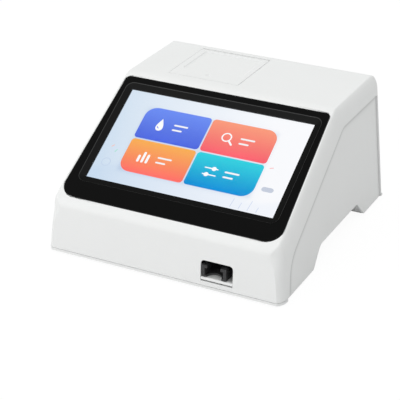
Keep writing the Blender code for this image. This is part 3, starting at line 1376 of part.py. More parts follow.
def make_printer():
    lid_low, lid_high = LID_CENTRE - LID_HALF, LID_CENTRE + LID_HALF
    inner = ((lid_low - GAP, lid_high + GAP), (LID_FRONT - GAP, LID_REAR + GAP))
    flange = BIN_WALL + BIN_FLANGE
    box = block(
        "paper_bin", (inner[0][0] - flange, inner[0][1] + flange),
        (inner[1][0] - BIN_WALL, inner[1][1] + BIN_WALL), (BIN_TOP - BIN_WALL, BIN_TOP),
        device, "black_matte",
    )
    join(box, block(
        "bin_upper", (inner[0][0] - BIN_WALL, inner[0][1] + BIN_WALL),
        (inner[1][0] - BIN_WALL, inner[1][1] + BIN_WALL), (BIN_STEP - BIN_WALL, BIN_TOP - SINK),
        device,
    ))
    roll_front = ROLL_BACK - ROLL_RADIUS - ROLL_FRONT_GAP
    roll_rear = ROLL_BACK + ROLL_RADIUS + GAP
    join(box, block(
        "bin_lower", (LID_CENTRE - BIN_HALF - BIN_WALL, LID_CENTRE + BIN_HALF + BIN_WALL),
        (roll_front - BIN_WALL, roll_rear + BIN_WALL),
        (BIN_FLOOR - BIN_WALL, BIN_STEP - BIN_WALL + SINK), device,
    ))
    for side in (-1, 1):
        near = inner[0][0] - flange if side < 0 else inner[0][1] + GAP
        join(box, block(
            f"pin_lug_{side}", (near, near + flange - GAP),
            (HINGE_BACK - BARREL_RADIUS, HINGE_BACK + BARREL_RADIUS),
            (HINGE_HEIGHT - BARREL_RADIUS, BIN_TOP - SINK), device,
        ))
    cut(box, block(
        "bin_upper_space", inner[0], inner[1], (BIN_STEP, BIN_TOP + OVERRUN), device
    ))
    cut(box, block(
        "bin_lower_space", (LID_CENTRE - BIN_HALF, LID_CENTRE + BIN_HALF),
        (roll_front, roll_rear), (BIN_FLOOR, BIN_TOP), device,
    ))
    cut(box, block(
        "pin_cradle", (inner[0][0] - flange - OVERRUN, inner[0][1] + flange + OVERRUN),
        (HINGE_BACK - BIN_HINGE_SLOT, HINGE_BACK + BIN_HINGE_SLOT),
        (HINGE_HEIGHT - BIN_HINGE_SLOT, BIN_TOP + OVERRUN), device,
    ))
    head_half = PLATEN_LENGTH / 2
    head_rear = PLATEN_BACK - PLATEN_RADIUS - GAP
    head_low = PLATEN_HEIGHT - PRINT_HEAD_HEIGHT / 2
    head_high = min(PLATEN_HEIGHT + PRINT_HEAD_HEIGHT / 2, BIN_TOP - BIN_WALL - GAP)
    cut(box, block(
        "print_head_hole", (LID_CENTRE - head_half - GAP, LID_CENTRE + head_half + GAP),
        (inner[1][0] - BIN_WALL - OVERRUN, inner[1][0] + SINK),
        (head_low - GAP, head_high + GAP), device,
    ))
    block(
        "print_head", (LID_CENTRE - head_half, LID_CENTRE + head_half),
        (head_rear - PRINT_HEAD_DEPTH, head_rear), (head_low, head_high), device,
        "sheet_steel",
    )
    place = (PINION_BACK, PINION_HEIGHT)
    outer = inner[0][1] + BIN_WALL + GAP
    cut(box, rod(
        "pinion_shaft_hole", "X", PLATEN_SHAFT_RADIUS + RUN, inner[0][1] - OVERRUN,
        inner[0][1] + BIN_WALL + OVERRUN, place, device, None, 16,
    ))
    pinion_frame = empty("pinion_frame", device, (LID_CENTRE, *place))
    pinion = prism(
        "motor_pinion", gear_outline(PINION_TEETH, MESH_TURN_SHARE), LID_CENTRE + GEAR_INNER,
        LID_CENTRE + GEAR_OUTER, "YZ", device, "gear_plastic",
    )
    pinion.location = (0, *place)
    pinion.rotation_euler = (PINION_ANGLE + math.pi, 0, 0)
    shaft = rod(
        "pinion_shaft", "X", PLATEN_SHAFT_RADIUS, LID_CENTRE + GEAR_OUTER - SINK,
        outer + PRINTER_MOTOR_LENGTH / 2, place, device, None, 16,
    )
    for obj in (pinion, shaft):
        obj.parent = pinion_frame
        obj.location = obj.location - pinion_frame.location
    join(pinion, shaft)
    motor = rod(
        "printer_motor", "X", PRINTER_MOTOR_RADIUS, outer, outer + PRINTER_MOTOR_LENGTH,
        place, device, "sheet_steel", WIDE_SIDES,
    )
    cut(motor, rod(
        "printer_motor_bore", "X", PLATEN_SHAFT_RADIUS + RUN, outer - OVERRUN,
        outer + PRINTER_MOTOR_LENGTH / 2 + GAP, place, device, None, 16,
    ))
    roll_frame = empty("roll_frame", device, (LID_CENTRE, ROLL_BACK, ROLL_HEIGHT))
    roll = rod(
        "paper_roll", "X", ROLL_RADIUS, -ROLL_WIDTH / 2, ROLL_WIDTH / 2, (0, 0), roll_frame,
        "paper", WIDE_SIDES,
    )
    cut(roll, rod(
        "roll_core", "X", ROLL_CORE_RADIUS, -ROLL_WIDTH, ROLL_WIDTH, (0, 0), roll_frame
    ))


def make_rear_panel():
    outer = -REAR_PANEL_SET_IN
    inner = outer - REAR_PANEL_THICKNESS
    outline = rectangle(
        (-REAR_PANEL_WIDTH / 2, REAR_PANEL_WIDTH / 2), (REAR_PANEL_LOW, REAR_PANEL_HIGH),
        REAR_PANEL_RADIUS,
    )
    panel = prism(
        "rear_panel", outline, -outer, -inner, "XZ", rear_frame, "white_inner"
    )
    cut(panel, socket_hole("switch_cutout", SWITCH_ACROSS, SWITCH_WIDTH, SWITCH_HEIGHT))
    cut(panel, socket_hole("power_cutout", POWER_ACROSS, POWER_WIDTH, POWER_HEIGHT))
    cut(panel, socket_hole("network_cutout", NETWORK_ACROSS, NETWORK_WIDTH, NETWORK_HEIGHT))
    for i in range(DATA_COUNT):
        across = DATA_ACROSS + i * DATA_PITCH
        cut(panel, socket_hole(f"data_cutout_{i}", across, DATA_WIDTH, DATA_HEIGHT))
    for i in range(GRILLE_SLOTS):
        off = (i - (GRILLE_SLOTS - 1) / 2) * GRILLE_PITCH
        reach = math.sqrt(max(FAN_BORE_RADIUS ** 2 - off ** 2, GRILLE_PITCH ** 2))
        cut(panel, block(
            f"grille_slot_{i}", (FAN_ACROSS - reach, FAN_ACROSS + reach),
            (inner - OVERRUN, OVERRUN),
            (FAN_UP + off - GRILLE_SLOT / 2, FAN_UP + off + GRILLE_SLOT / 2), rear_frame,
        ))
    return inner


def make_sockets(inner):
    outer = -REAR_PANEL_SET_IN + SOCKET_PROUD
    back = outer - SOCKET_DEPTH

    def socket(name, across, width, height, finish):
        return block(
            name, (across - width / 2, across + width / 2), (back, outer),
            (SOCKET_ROW - height / 2, SOCKET_ROW + height / 2), rear_frame, finish,
        )

    def hollow(name, across, width, height, low):
        return block(
            name, (across - width / 2, across + width / 2),
            (outer - SOCKET_HOLE_DEPTH, outer + OVERRUN), (low, low + height), rear_frame,
        )

    power = socket("power_socket", POWER_ACROSS, POWER_WIDTH, POWER_HEIGHT, "black_matte")
    cut(power, rod(
        "power_hole", "Y", POWER_HOLE_RADIUS, outer - SOCKET_HOLE_DEPTH, outer + OVERRUN,
        (POWER_ACROSS, SOCKET_ROW), rear_frame,
    ))
    join(power, rod(
        "power_pin", "Y", POWER_PIN_RADIUS, outer - SOCKET_HOLE_DEPTH - SINK,
        outer - SOCKET_PROUD, (POWER_ACROSS, SOCKET_ROW), rear_frame, None, 10,
    ))
    for i in range(DATA_COUNT):
        across = DATA_ACROSS + i * DATA_PITCH
        data = socket(f"data_socket_{i + 1}", across, DATA_WIDTH, DATA_HEIGHT, "bright_steel")
        cut(data, hollow(
            f"data_hole_{i}", across, DATA_WIDTH - 2 * DATA_WALL, DATA_HEIGHT - 2 * DATA_WALL,
            SOCKET_ROW - DATA_HEIGHT / 2 + DATA_WALL,
        ))
        join(data, block(
            f"data_tongue_{i}", (across - DATA_TONGUE_WIDTH / 2, across + DATA_TONGUE_WIDTH / 2),
            (outer - SOCKET_HOLE_DEPTH - SINK, outer - SOCKET_PROUD),
            (SOCKET_ROW, SOCKET_ROW + DATA_TONGUE), rear_frame,
        ))
    network = socket(
        "network_socket", NETWORK_ACROSS, NETWORK_WIDTH, NETWORK_HEIGHT, "bright_steel"
    )
    low = SOCKET_ROW - NETWORK_HOLE_HEIGHT / 2
    cut(network, hollow(
        "network_hole", NETWORK_ACROSS, NETWORK_HOLE_WIDTH, NETWORK_HOLE_HEIGHT, low
    ))
    cut(network, hollow(
        "network_key", NETWORK_ACROSS, NETWORK_KEY_WIDTH, NETWORK_KEY_HEIGHT + SINK,
        low - NETWORK_KEY_HEIGHT,
    ))
    block(
        "socket_board",
        (POWER_ACROSS - SOCKET_BOARD_MARGIN, NETWORK_ACROSS + 2 * SOCKET_BOARD_MARGIN),
        (back - GAP - BOARD_THICKNESS, back - GAP),
        (SOCKET_ROW - SOCKET_BOARD_HEIGHT / 2, SOCKET_ROW + SOCKET_BOARD_HEIGHT / 2),
        rear_frame, "board",
    )


def make_switch():
    face = -REAR_PANEL_SET_IN + GAP
    half, tall = SWITCH_WIDTH / 2, SWITCH_HEIGHT / 2
    rim = SWITCH_FLANGE_RIM
    frame = block(
        "power_switch_frame", (SWITCH_ACROSS - half, SWITCH_ACROSS + half),
        (face - SWITCH_DEPTH, face + SINK), (SOCKET_ROW - tall, SOCKET_ROW + tall),
        rear_frame, "black_matte",
    )
    join(frame, block(
        "switch_flange", (SWITCH_ACROSS - half - rim, SWITCH_ACROSS + half + rim),
        (face, face + SWITCH_FLANGE), (SOCKET_ROW - tall - rim, SOCKET_ROW + tall + rim),
        rear_frame,
    ))
    cut(frame, block(
        "switch_well", (SWITCH_ACROSS - half + SWITCH_WALL, SWITCH_ACROSS + half - SWITCH_WALL),
        (face - SWITCH_DEPTH + SWITCH_WALL, face + SWITCH_FLANGE + OVERRUN),
        (SOCKET_ROW - tall + SWITCH_WALL, SOCKET_ROW + tall - SWITCH_WALL), rear_frame,
    ))
    pivot = face - ROCKER_PIVOT_IN
    rocker_frame = empty(
        "rocker_frame", rear_frame, (SWITCH_ACROSS, pivot, SOCKET_ROW), (ROCKER_TILT, 0, 0)
    )
    reach = tall - SWITCH_WALL - ROCKER_END_GAP
    waist = ROCKER_PIVOT_IN + ROCKER_LIFT / 2
    outline = [
        (-ROCKER_BODY, -ROCKER_RADIUS), (waist + ROCKER_LIFT / 2, -reach),
        (waist, 0), (waist + ROCKER_LIFT / 2, reach), (-ROCKER_BODY, ROCKER_RADIUS),
        (-ROCKER_RADIUS, 0),
    ]
    across = half - SWITCH_WALL - GAP
    prism("switch_rocker", outline, -across, across, "YZ", rocker_frame, "black_gloss")


def make_fan(inner):
    rear = inner - GAP
    low = rear - FAN_DEPTH
    centre = (FAN_ACROSS, FAN_UP)
    half = FAN_SIZE / 2
    outline = rectangle(
        (FAN_ACROSS - half, FAN_ACROSS + half), (FAN_UP - half, FAN_UP + half),
        FAN_CORNER_RADIUS,
    )
    frame = prism("fan_frame", outline, -rear, -low, "XZ", rear_frame, "black_matte")
    cut(frame, rod(
        "fan_bore", "Y", FAN_BORE_RADIUS, low - OVERRUN, rear + OVERRUN, centre, rear_frame,
        None, WIDE_SIDES,
    ))
    stator = low + FAN_STATOR_THICKNESS
    join(frame, rod(
        "fan_stator", "Y", FAN_HUB_RADIUS, low + SINK, stator + SINK, centre, rear_frame
    ))
    root, end = FAN_HUB_RADIUS - 2 * SINK, FAN_BORE_RADIUS + 2 * SINK
    for i in range(FAN_STRUTS):
        strut = block(
            f"fan_strut_{i}", (root, end), (low + 2 * SINK, stator),
            (-FAN_STRUT_WIDTH / 2, FAN_STRUT_WIDTH / 2), rear_frame,
        )
        angle = 2 * math.pi * (i + FAN_STRUT_TURN_SHARE) / FAN_STRUTS
        reach = (root + end) / 2
        strut.rotation_euler = (0, -angle, 0)
        strut.location = (
            FAN_ACROSS + reach * math.cos(angle), low / 2 + SINK + stator / 2,
            FAN_UP + reach * math.sin(angle),
        )
        join(frame, strut)
    join(frame, rod(
        "fan_axle", "Y", FAN_AXLE_RADIUS, stator, rear - 3 * GAP, centre, rear_frame, None, 12
    ))
    fan_frame = empty("fan_axis", rear_frame, (FAN_ACROSS, 0, FAN_UP))
    start, end = stator + SINK + GAP, rear - GAP
    rotor = rod(
        "fan_rotor", "Y", FAN_HUB_RADIUS, start, end, (0, 0), fan_frame, "black_matte"
    )
    tip = FAN_BORE_RADIUS - FAN_BLADE_TIP_GAP
    for i in range(FAN_BLADES):
        blade = block(
            f"fan_blade_{i}", (FAN_HUB_RADIUS - 2 * SINK, tip),
            (-FAN_BLADE_THICKNESS / 2, FAN_BLADE_THICKNESS / 2),
            (-FAN_BLADE_CHORD / 2, FAN_BLADE_CHORD / 2), fan_frame,
        )
        angle = 2 * math.pi * i / FAN_BLADES
        reach = (FAN_HUB_RADIUS - 2 * SINK + tip) / 2
        blade.rotation_mode = "QUATERNION"
        turn = Matrix.Rotation(-angle, 3, "Y") @ Matrix.Rotation(FAN_BLADE_PITCH, 3, "X")
        blade.rotation_quaternion = turn.to_quaternion()
        blade.location = (
            reach * math.cos(angle), (start + end) / 2, reach * math.sin(angle)
        )
        join(rotor, blade)
    cut(rotor, rod(
        "rotor_bore", "Y", FAN_AXLE_RADIUS + RUN, start - OVERRUN, end + OVERRUN, (0, 0),
        fan_frame, None, 12,
    ))


make_casing()
make_side_panels()
make_base()
make_main_board()
make_screen()
make_tray()
make_transport()
make_optics()
make_lid()
make_printer()
panel_inner = make_rear_panel()
make_sockets(panel_inner)
make_switch()
make_fan(panel_inner)
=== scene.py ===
import json
import math

import bmesh
import bpy
import numpy as np
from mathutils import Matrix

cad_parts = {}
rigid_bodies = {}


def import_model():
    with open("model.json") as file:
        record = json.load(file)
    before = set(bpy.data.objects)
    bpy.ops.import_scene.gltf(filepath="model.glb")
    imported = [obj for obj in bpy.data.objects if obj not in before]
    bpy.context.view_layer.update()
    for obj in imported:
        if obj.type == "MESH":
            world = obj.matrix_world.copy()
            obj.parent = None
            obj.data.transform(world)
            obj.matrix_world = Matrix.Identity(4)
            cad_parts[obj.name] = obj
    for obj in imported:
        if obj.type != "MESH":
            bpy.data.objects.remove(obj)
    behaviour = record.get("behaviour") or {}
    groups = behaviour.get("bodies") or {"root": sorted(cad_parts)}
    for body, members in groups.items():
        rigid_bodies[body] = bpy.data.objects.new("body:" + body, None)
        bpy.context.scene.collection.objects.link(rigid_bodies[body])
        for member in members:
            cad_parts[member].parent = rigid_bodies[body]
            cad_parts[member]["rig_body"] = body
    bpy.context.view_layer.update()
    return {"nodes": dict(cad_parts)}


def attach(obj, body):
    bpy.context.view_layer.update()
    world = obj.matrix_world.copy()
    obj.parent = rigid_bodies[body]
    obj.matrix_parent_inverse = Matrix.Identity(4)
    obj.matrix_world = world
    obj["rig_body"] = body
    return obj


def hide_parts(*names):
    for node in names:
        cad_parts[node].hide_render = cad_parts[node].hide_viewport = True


for old in list(bpy.data.objects):
    bpy.data.objects.remove(old)
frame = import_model()
nodes = frame["nodes"]
print("frame loaded,", len(nodes), "parts")

# the analyzer's outer form, in metres
# side views are y from the front's lower edge, and z from the floor
body = {
    "halfWidth": 0.140998,
    "depth": 0.291707,
    "footHeight": 0.0020,
    "bottom": 0.0052,
    "top": 0.157135,
    "kneeHeight": 0.0621,
    "ridgeBack": 0.162467,
    "draft": math.radians(3.96),
    "frontLean": math.radians(2.9),
    "slope": math.radians(30.8),
    "wall": 0.0022,
    # the rounding between the faces, outside, and the least that is left of it inside
    "rearRadius": 0.0120,
    "ridgeRadius": 0.0170,
    "kneeRadius": 0.0140,
    "leastRadius": 0.0060,
    # how far the rounding of the side edges reaches down the side at the rear, top, slope and front
    "edgeDown": (0.0040, 0.0190, 0.0190, 0.0125),
    # the angle at which the rounding leaves each face: the front ends in a slight crease
    "edgeStart": (0, 0, 0, 0.61),
    # (place, value) along the side view, where the rear, its arc, the top and so on count 1 each:
    # how far the rounding reaches across the face, its angle there, and how far the side leans in
    "edgeAcross": (
        (0, 0.0040), (1, 0.0040), (2, 0.0050), (4, 0.0047), (4.86, 0.0046), (4.93, 0.0051),
        (5, 0.0064), (5.35, 0.0085), (5.7, 0.0118), (6, 0.0136), (6.08, 0.0130), (6.15, 0.0113),
        (6.25, 0.0088), (6.36, 0.0072), (6.5, 0.0066), (7, 0.0064),
    ),
    "creaseAcross": ((5.9, 0), (6, 0.2), (6.15, 0.5), (6.3, 0.61)),
    "bandPull": ((0, 0), (1, 0), (2, 0.0004), (5, 0.0005), (6, 0.0013), (6.9, 0), (7, 0)),
    "evenOver": 5,         # points that these values are evened out over
    "leastCorner": 0.00005,
    "arcSteps": 12,
    "sideSteps": 24,       # from the middle of one corner to the next
}


def halfWidth(height):
    # the sides lean in by the draft as they rise
    return body["halfWidth"] - (height - body["footHeight"]) * math.tan(body["draft"])


def frontBack(height):
    # the front leans back as it rises
    return (height - body["footHeight"]) * math.tan(body["frontLean"])


def rearBack(height):
    # the rear leans in by the draft, as the sides do
    return body["depth"] - (height - body["footHeight"]) * math.tan(body["draft"])


kneeBack = frontBack(body["kneeHeight"])
sideView = [
    (frontBack(body["bottom"]), body["bottom"]), (rearBack(body["bottom"]), body["bottom"]),
    (rearBack(body["top"]), body["top"]), (body["ridgeBack"], body["top"]),
    (kneeBack, body["kneeHeight"]),
]
# each flat face: where it starts in side view, which way it runs, and which way is out
faces = {
    "rear": ((body["depth"], body["footHeight"]), math.pi / 2 + body["draft"], -1),
    "top": ((0, body["top"]), 0, 1),
    "slope": ((kneeBack, body["kneeHeight"]), body["slope"], 1),
    "front": ((0, body["footHeight"]), math.pi / 2 - body["frontLean"], 1),
}


def inSpace(across, side):
    # a side view point (y, z) at a distance across, moved so that the footprint's middle is at 0
    across, side = np.broadcast_arrays(np.asarray(across, float)[..., None], side)
    return np.concatenate((across[..., :1], side[..., :1] - body["depth"] / 2, side[..., 1:]), -1)


def onFace(face, flat, out):
    # start + distance up the face * its run + out * its outward direction
    start, angle, turn = faces[face]
    along = np.array((math.cos(angle), math.sin(angle)))
    outward = turn * np.array((-math.sin(angle), math.cos(angle)))
    flat, out = np.asarray(flat, float), np.asarray(out, float)
    return inSpace(flat[..., 0], start + flat[..., 1:] * along + out[..., None] * outward)


def rectangle(left, right, low, high):
    # anticlockwise from the lower left corner
    return [(left, low), (right, low), (right, high), (left, high)]


def insetCorners(corners, distances):
    # each side moves inward by its own distance; a corner is where the line before meets the next
    corners = np.asarray(corners, float)
    along = np.roll(corners, -1, 0) - corners
    along /= np.linalg.norm(along, axis=1)[:, None]
    start = corners + np.stack((-along[:, 1], along[:, 0]), 1) * np.asarray(distances)[:, None]
    before, previous = np.roll(start, 1, 0), np.roll(along, 1, 0)
    crossing = previous[:, 0] * along[:, 1] - previous[:, 1] * along[:, 0]
    gap = start - before
    run = (gap[:, 0] * along[:, 1] - gap[:, 1] * along[:, 0]) / crossing
    return before + previous * run[:, None]


def roundCorners(corners, radii, arcSteps, sideSteps):
    # an arc at each corner: centre + (sin((1-s)t) * first spoke + sin(s t) * last spoke) / sin t
    corners, radii = np.asarray(corners, float), np.asarray(radii, float)
    toBefore, toAfter = np.roll(corners, 1, 0) - corners, np.roll(corners, -1, 0) - corners
    toBefore /= np.linalg.norm(toBefore, axis=1)[:, None]
    toAfter /= np.linalg.norm(toAfter, axis=1)[:, None]
    half = np.arccos(np.clip((toBefore * toAfter).sum(1), -1, 1)) / 2
    middle = toBefore + toAfter
    middle /= np.linalg.norm(middle, axis=1)[:, None]
    centre = corners + middle * (radii / np.sin(half))[:, None]
    reach = (radii / np.tan(half))[:, None]
    first, last = corners + toBefore * reach - centre, corners + toAfter * reach - centre
    turn = (np.pi - 2 * half)[:, None, None]
    share = np.linspace(0, 1, arcSteps + 1)[None, :, None]
    spokes = np.sin((1 - share) * turn) * first[:, None] + np.sin(share * turn) * last[:, None]
    arcs = centre[:, None] + spokes / np.sin(turn)
    share = np.linspace(0, 1, sideSteps - arcSteps + 1)[None, 1:-1, None]
    lines = arcs[:, -1:] * (1 - share) + np.roll(arcs[:, :1], -1, 0) * share
    return np.concatenate((arcs, lines), 1).reshape(-1, 2)


def isConvex(corners):
    # +1 where an anticlockwise outline turns left, -1 where it turns right
    corners = np.asarray(corners, float)
    before, after = corners - np.roll(corners, 1, 0), np.roll(corners, -1, 0) - corners
    return np.sign(before[:, 0] * after[:, 1] - before[:, 1] * after[:, 0])


def outline(corners, radii, inward=0, arcSteps=body["arcSteps"], sideSteps=body["sideSteps"]):
    # the outline moved inward, where outer corners get tighter and inner ones wider
    moved = insetCorners(corners, np.full(len(corners), inward))
    fitted = np.asarray(radii, float) - inward * isConvex(corners)
    rounded = roundCorners(moved, np.maximum(fitted, body["leastCorner"]), arcSteps, sideSteps)
    return np.roll(rounded, -(arcSteps // 2), 0)


def sectionRings(face, corners, radii, section):
    # one ring for each (how far inward, how far out) of a section
    return [onFace(face, outline(corners, radii, inward), out) for inward, out in section]


def quarter(steps):
    # (how far across, how deep) of a quarter circle of radius 1, from its flat end to its steep end
    angle = np.linspace(0, np.pi / 2, steps + 1)
    return np.stack((1 - np.sin(angle), 1 - np.cos(angle)), 1)


def creasedQuarter(share, start):
    # the same for an arc that leaves its flat end at an angle a and turns on to 90 degrees:
    # across = (1 - sin) / (1 - sin a), deep = 1 - cos / cos a
    angle = start + (np.pi / 2 - start) * share
    return (1 - np.sin(angle)) / (1 - np.sin(start)), 1 - np.cos(angle) / np.cos(start)


def directions(start, end, steps):
    # (cos t, sin t) for angles t from the start to the end
    angle = np.linspace(start, end, steps + 1)
    return np.stack((np.cos(angle), np.sin(angle)), -1)


def smoothStep(share):
    # 3 s^2 - 2 s^3, which leaves 0 and reaches 1 without a kink
    share = np.clip(share, 0, 1)
    return share * share * (3 - 2 * share)


def gridFaces(rows, columns, wrapRows, wrapColumns, start):
    # a face joins four neighbours of a grid, and wraps round where the grid closes
    row = np.arange(rows if wrapRows else rows - 1)[:, None]
    column = np.arange(columns if wrapColumns else columns - 1)[None, :]
    nextRow, nextColumn = (row + 1) % rows, (column + 1) % columns
    quads = np.stack((
        row * columns + column, row * columns + nextColumn,
        nextRow * columns + nextColumn, nextRow * columns + column,
    ), -1)
    return quads.reshape(-1, 4) + start


# points closer than these are one, and faces that bend less are one flat
weld = {"join": 0.000004, "least": 0.000002, "packed": 0.000001, "flat": math.radians(0.2)}


def sheetMesh(name, sheets, colours=None, closed=True):
    # sheets are (points, wrapRows, wrapColumns); doubles are merged and open rims get a face
    points, quads, start = [], [], 0
    for sheet, wrapRows, wrapColumns in sheets:
        rows, columns = sheet.shape[:2]
        quads.append(gridFaces(rows, columns, wrapRows, wrapColumns, start))
        points.append(sheet.reshape(-1, 3))
        start += rows * columns
    mesh = bpy.data.meshes.new(name)
    mesh.from_pydata(np.concatenate(points).tolist(), [], np.concatenate(quads).tolist())
    # the colours are the screen's picture, or the painted shade of the side panels
    if colours is not None:
        layer = mesh.color_attributes.new("picture", "FLOAT_COLOR", "POINT")
        layer.data.foreach_set("color", np.concatenate(colours).astype(np.float32).ravel())
    shape = bmesh.new()
    shape.from_mesh(mesh)
    bmesh.ops.remove_doubles(shape, verts=shape.verts, dist=weld["join"])
    bmesh.ops.dissolve_degenerate(shape, edges=shape.edges, dist=weld["least"])
    if closed:
        rims = [edge for edge in shape.edges if edge.is_boundary]
        if rims:
            bmesh.ops.holes_fill(shape, edges=rims, sides=0)
        bmesh.ops.recalc_face_normals(shape, faces=shape.faces)
    left = sum(1 for edge in shape.edges if not edge.is_manifold)
    shape.to_mesh(mesh)
    shape.free()
    if closed and left:
        print("  note:", name, "has", left, "open edges")
    return mesh


def toolMesh(*rings):
    # a solid between rings of points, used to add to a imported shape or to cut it
    return sheetMesh("tool", [(np.stack(rings), False, True)])


def mergedMesh(node):
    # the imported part's own shape with its doubles merged and its flats joined
    mesh = nodes[node].data.copy()
    shape = bmesh.new()
    shape.from_mesh(mesh)
    bmesh.ops.remove_doubles(shape, verts=shape.verts, dist=weld["packed"])
    bmesh.ops.dissolve_limit(shape, angle_limit=weld["flat"], verts=shape.verts, edges=shape.edges)
    shape.to_mesh(mesh)
    shape.free()
    return mesh


def combine(mesh, tool, operation):
    # one mesh joined to, cut by or kept within another
    things = [bpy.data.objects.new("work", shape) for shape in (mesh, tool)]
    for thing in things:
        bpy.context.scene.collection.objects.link(thing)
    change = things[0].modifiers.new("change", "BOOLEAN")
    change.object, change.operation, change.solver = things[1], operation, "EXACT"
    ready = things[0].evaluated_get(bpy.context.evaluated_depsgraph_get())
    result = bpy.data.meshes.new_from_object(ready)
    for thing in things:
        bpy.data.objects.remove(thing)
    return result


def finishPiece(name, mesh, finish, bodyName, replaced, smoothAngle, bevel=0, segments=2):
    # smooth shading with sharp edges kept, and rounded where a bevel is given
    mesh.shade_smooth()
    mesh.set_sharp_from_angle(angle=math.radians(smoothAngle))
    mesh.materials.clear()
    mesh.materials.append(finishes[finish])
    piece = bpy.data.objects.new(name, mesh)
    bpy.context.scene.collection.objects.link(piece)
    if bevel:
        softEdge = piece.modifiers.new("softEdge", "BEVEL")
        softEdge.width = bevel
        softEdge.segments = segments
        softEdge.limit_method = "ANGLE"
        softEdge.angle_limit = math.radians(smoothAngle)
    evenShade = piece.modifiers.new("evenShade", "WEIGHTED_NORMAL")
    evenShade.keep_sharp = True
    evenShade.weight = 60
    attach(piece, bodyName)
    if replaced:
        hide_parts(*replaced)


def buildPiece(name, sheets, finish, replaced, smoothAngle=32, colours=None, closed=True):
    # a new piece of the housing, made from its sheets
    mesh = sheetMesh(name, sheets, colours, closed)
    finishPiece(name, mesh, finish, "housing", replaced, smoothAngle)


def softCopy(node, name, finish, bevel, segments=2, smoothAngle=30, mesh=None):
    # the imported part's shape, or a changed copy of it, with softened edges
    finishPiece(
        name, mesh or mergedMesh(node), finish, nodes[node]["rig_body"], (node,),
        smoothAngle, bevel, segments,
    )


class Wiring:
    # a node tree filled from left to right, where a socket takes another socket or a value

    def __init__(self, owner):
        owner.use_nodes = True
        self.tree, self.place = owner.node_tree, -1400

    def add(self, kind, inputs=None, **settings):
        # one more node, with its settings made and its sockets filled
        node = self.tree.nodes.new(kind)
        node.location = (self.place, 200)
        self.place += 150
        for key, value in settings.items():
            setattr(node, key, value)
        self.feed(node, inputs or {})
        return node

    def feed(self, node, inputs):
        # each socket is linked to another one or set to a plain value
        for key, source in inputs.items():
            if isinstance(source, bpy.types.NodeSocket):
                self.tree.links.new(source, node.inputs[key])
            else:
                node.inputs[key].default_value = source

    def blend(self, share, low, high, **settings):
        # low * (1 - share) + high * share of two colours, unless another blend is asked for
        ends = [end if isinstance(end, bpy.types.NodeSocket) else (*end, 1) for end in (low, high)]
        inputs = {"Factor": share, "A": ends[0], "B": ends[1]}
        return self.add("ShaderNodeMix", inputs, data_type="RGBA", **settings).outputs["Result"]

    def span(self, share, low, high, fromLow=0.3, fromHigh=0.7):
        # low + (high - low) * (share - fromLow) / (fromHigh - fromLow), kept between low and high
        ends = {"From Min": fromLow, "From Max": fromHigh, "To Min": low, "To Max": high}
        return self.add("ShaderNodeMapRange", {"Value": share, **ends}).outputs["Result"]


class Finish(Wiring):
    # one material, with its patterns on the piece's own coordinates

    def __init__(self, name):
        finishes[name] = bpy.data.materials.new(name)
        super().__init__(finishes[name])
        self.shader = self.tree.nodes["Principled BSDF"]
        self.points = self.add("ShaderNodeTexCoord").outputs["Object"]

    def surface(self, inputs):
        # what the material's own sockets take
        self.feed(self.shader, inputs)

    def noise(self, scale, detail=3, stretch=None):
        # soft uneven patches of 0 to 1, or streaks where each axis has its own scale
        points = self.points
        if stretch:
            points = self.add("ShaderNodeMapping", {"Scale": stretch, "Vector": points}).outputs[0]
        inputs = {"Scale": scale, "Detail": detail, "Vector": points}
        return self.add("ShaderNodeTexNoise", inputs).outputs["Fac"]

    def normal(self):
        # the way that a face points, on the piece's own axes
        return self.add("ShaderNodeTexCoord").outputs["Normal"]

    def bump(self, height, distance, strength):
        # the light falls as if the surface rose by height * distance
        inputs = {"Height": height, "Distance": distance, "Strength": strength}
        self.surface({"Normal": self.add("ShaderNodeBump", inputs).outputs["Normal"]})


# finishes, each with the scale of its patterns
finishes = {}
mould = {"driftScale": 14, "driftDetail": 4, "patchScale": 60, "patchDetail": 5, "glossSwing": 0.04,
         "grainDetail": 2, "bump": 0.35}
steel = {"streakDetail": 4, "glossFrom": -0.08, "glossTo": 0.10, "depth": 0.00001, "bump": 0.3}
glass = {"smearScale": 25, "smear": 0.03}
boardLook = {"padScale": 210, "padEdge": (0.11, 0.14), "trackScale": 90, "trackEdge": (0.42, 0.47),
             "maskGloss": 0.38, "padGloss": 0.22, "depth": 0.00002, "bump": 0.3}
paperLook = {"ringScale": 420, "waver": 0.4, "endTurn": 0.5, "ringShade": 0.86, "patchScale": 300,
             "gloss": (0.75, 0.9), "depth": 0.00002, "bump": 0.3}
# the black frame's painted highlight: its grey on flat faces, the palest grey, and how much paler
# tilted faces are painted
frameLook = {"flat": 0.0030, "pale": 0.0600, "gain": 0.136, "down": 0.0205, "left": 0.0125}
litLook = {"colour": (0.004, 0.004, 0.004, 1), "rough": 0.6, "gloss": 0.02, "strength": 1}


def mouldedFinish(name, colour, rough, spread=0.03, grain=1600, depth=0.00002, metal=0, gloss=0.5):
    # a fine mould grain as bump, a slow drift of colour, and a slightly uneven gloss
    finish, swing = Finish(name), mould["glossSwing"]
    drift = finish.span(finish.noise(mould["driftScale"], mould["driftDetail"]), 0, 1)
    patches = finish.noise(mould["patchScale"], mould["patchDetail"])
    low = [c * (1 - spread) for c in colour]
    high = [min(c * (1 + spread), 1) for c in colour]
    finish.surface({
        "Base Color": finish.blend(drift, low, high),
        "Roughness": finish.span(patches, rough - swing, rough + swing),
        "Metallic": metal, "Specular IOR Level": gloss,
    })
    finish.bump(finish.noise(grain, mould["grainDetail"]), depth, mould["bump"])
    return finish


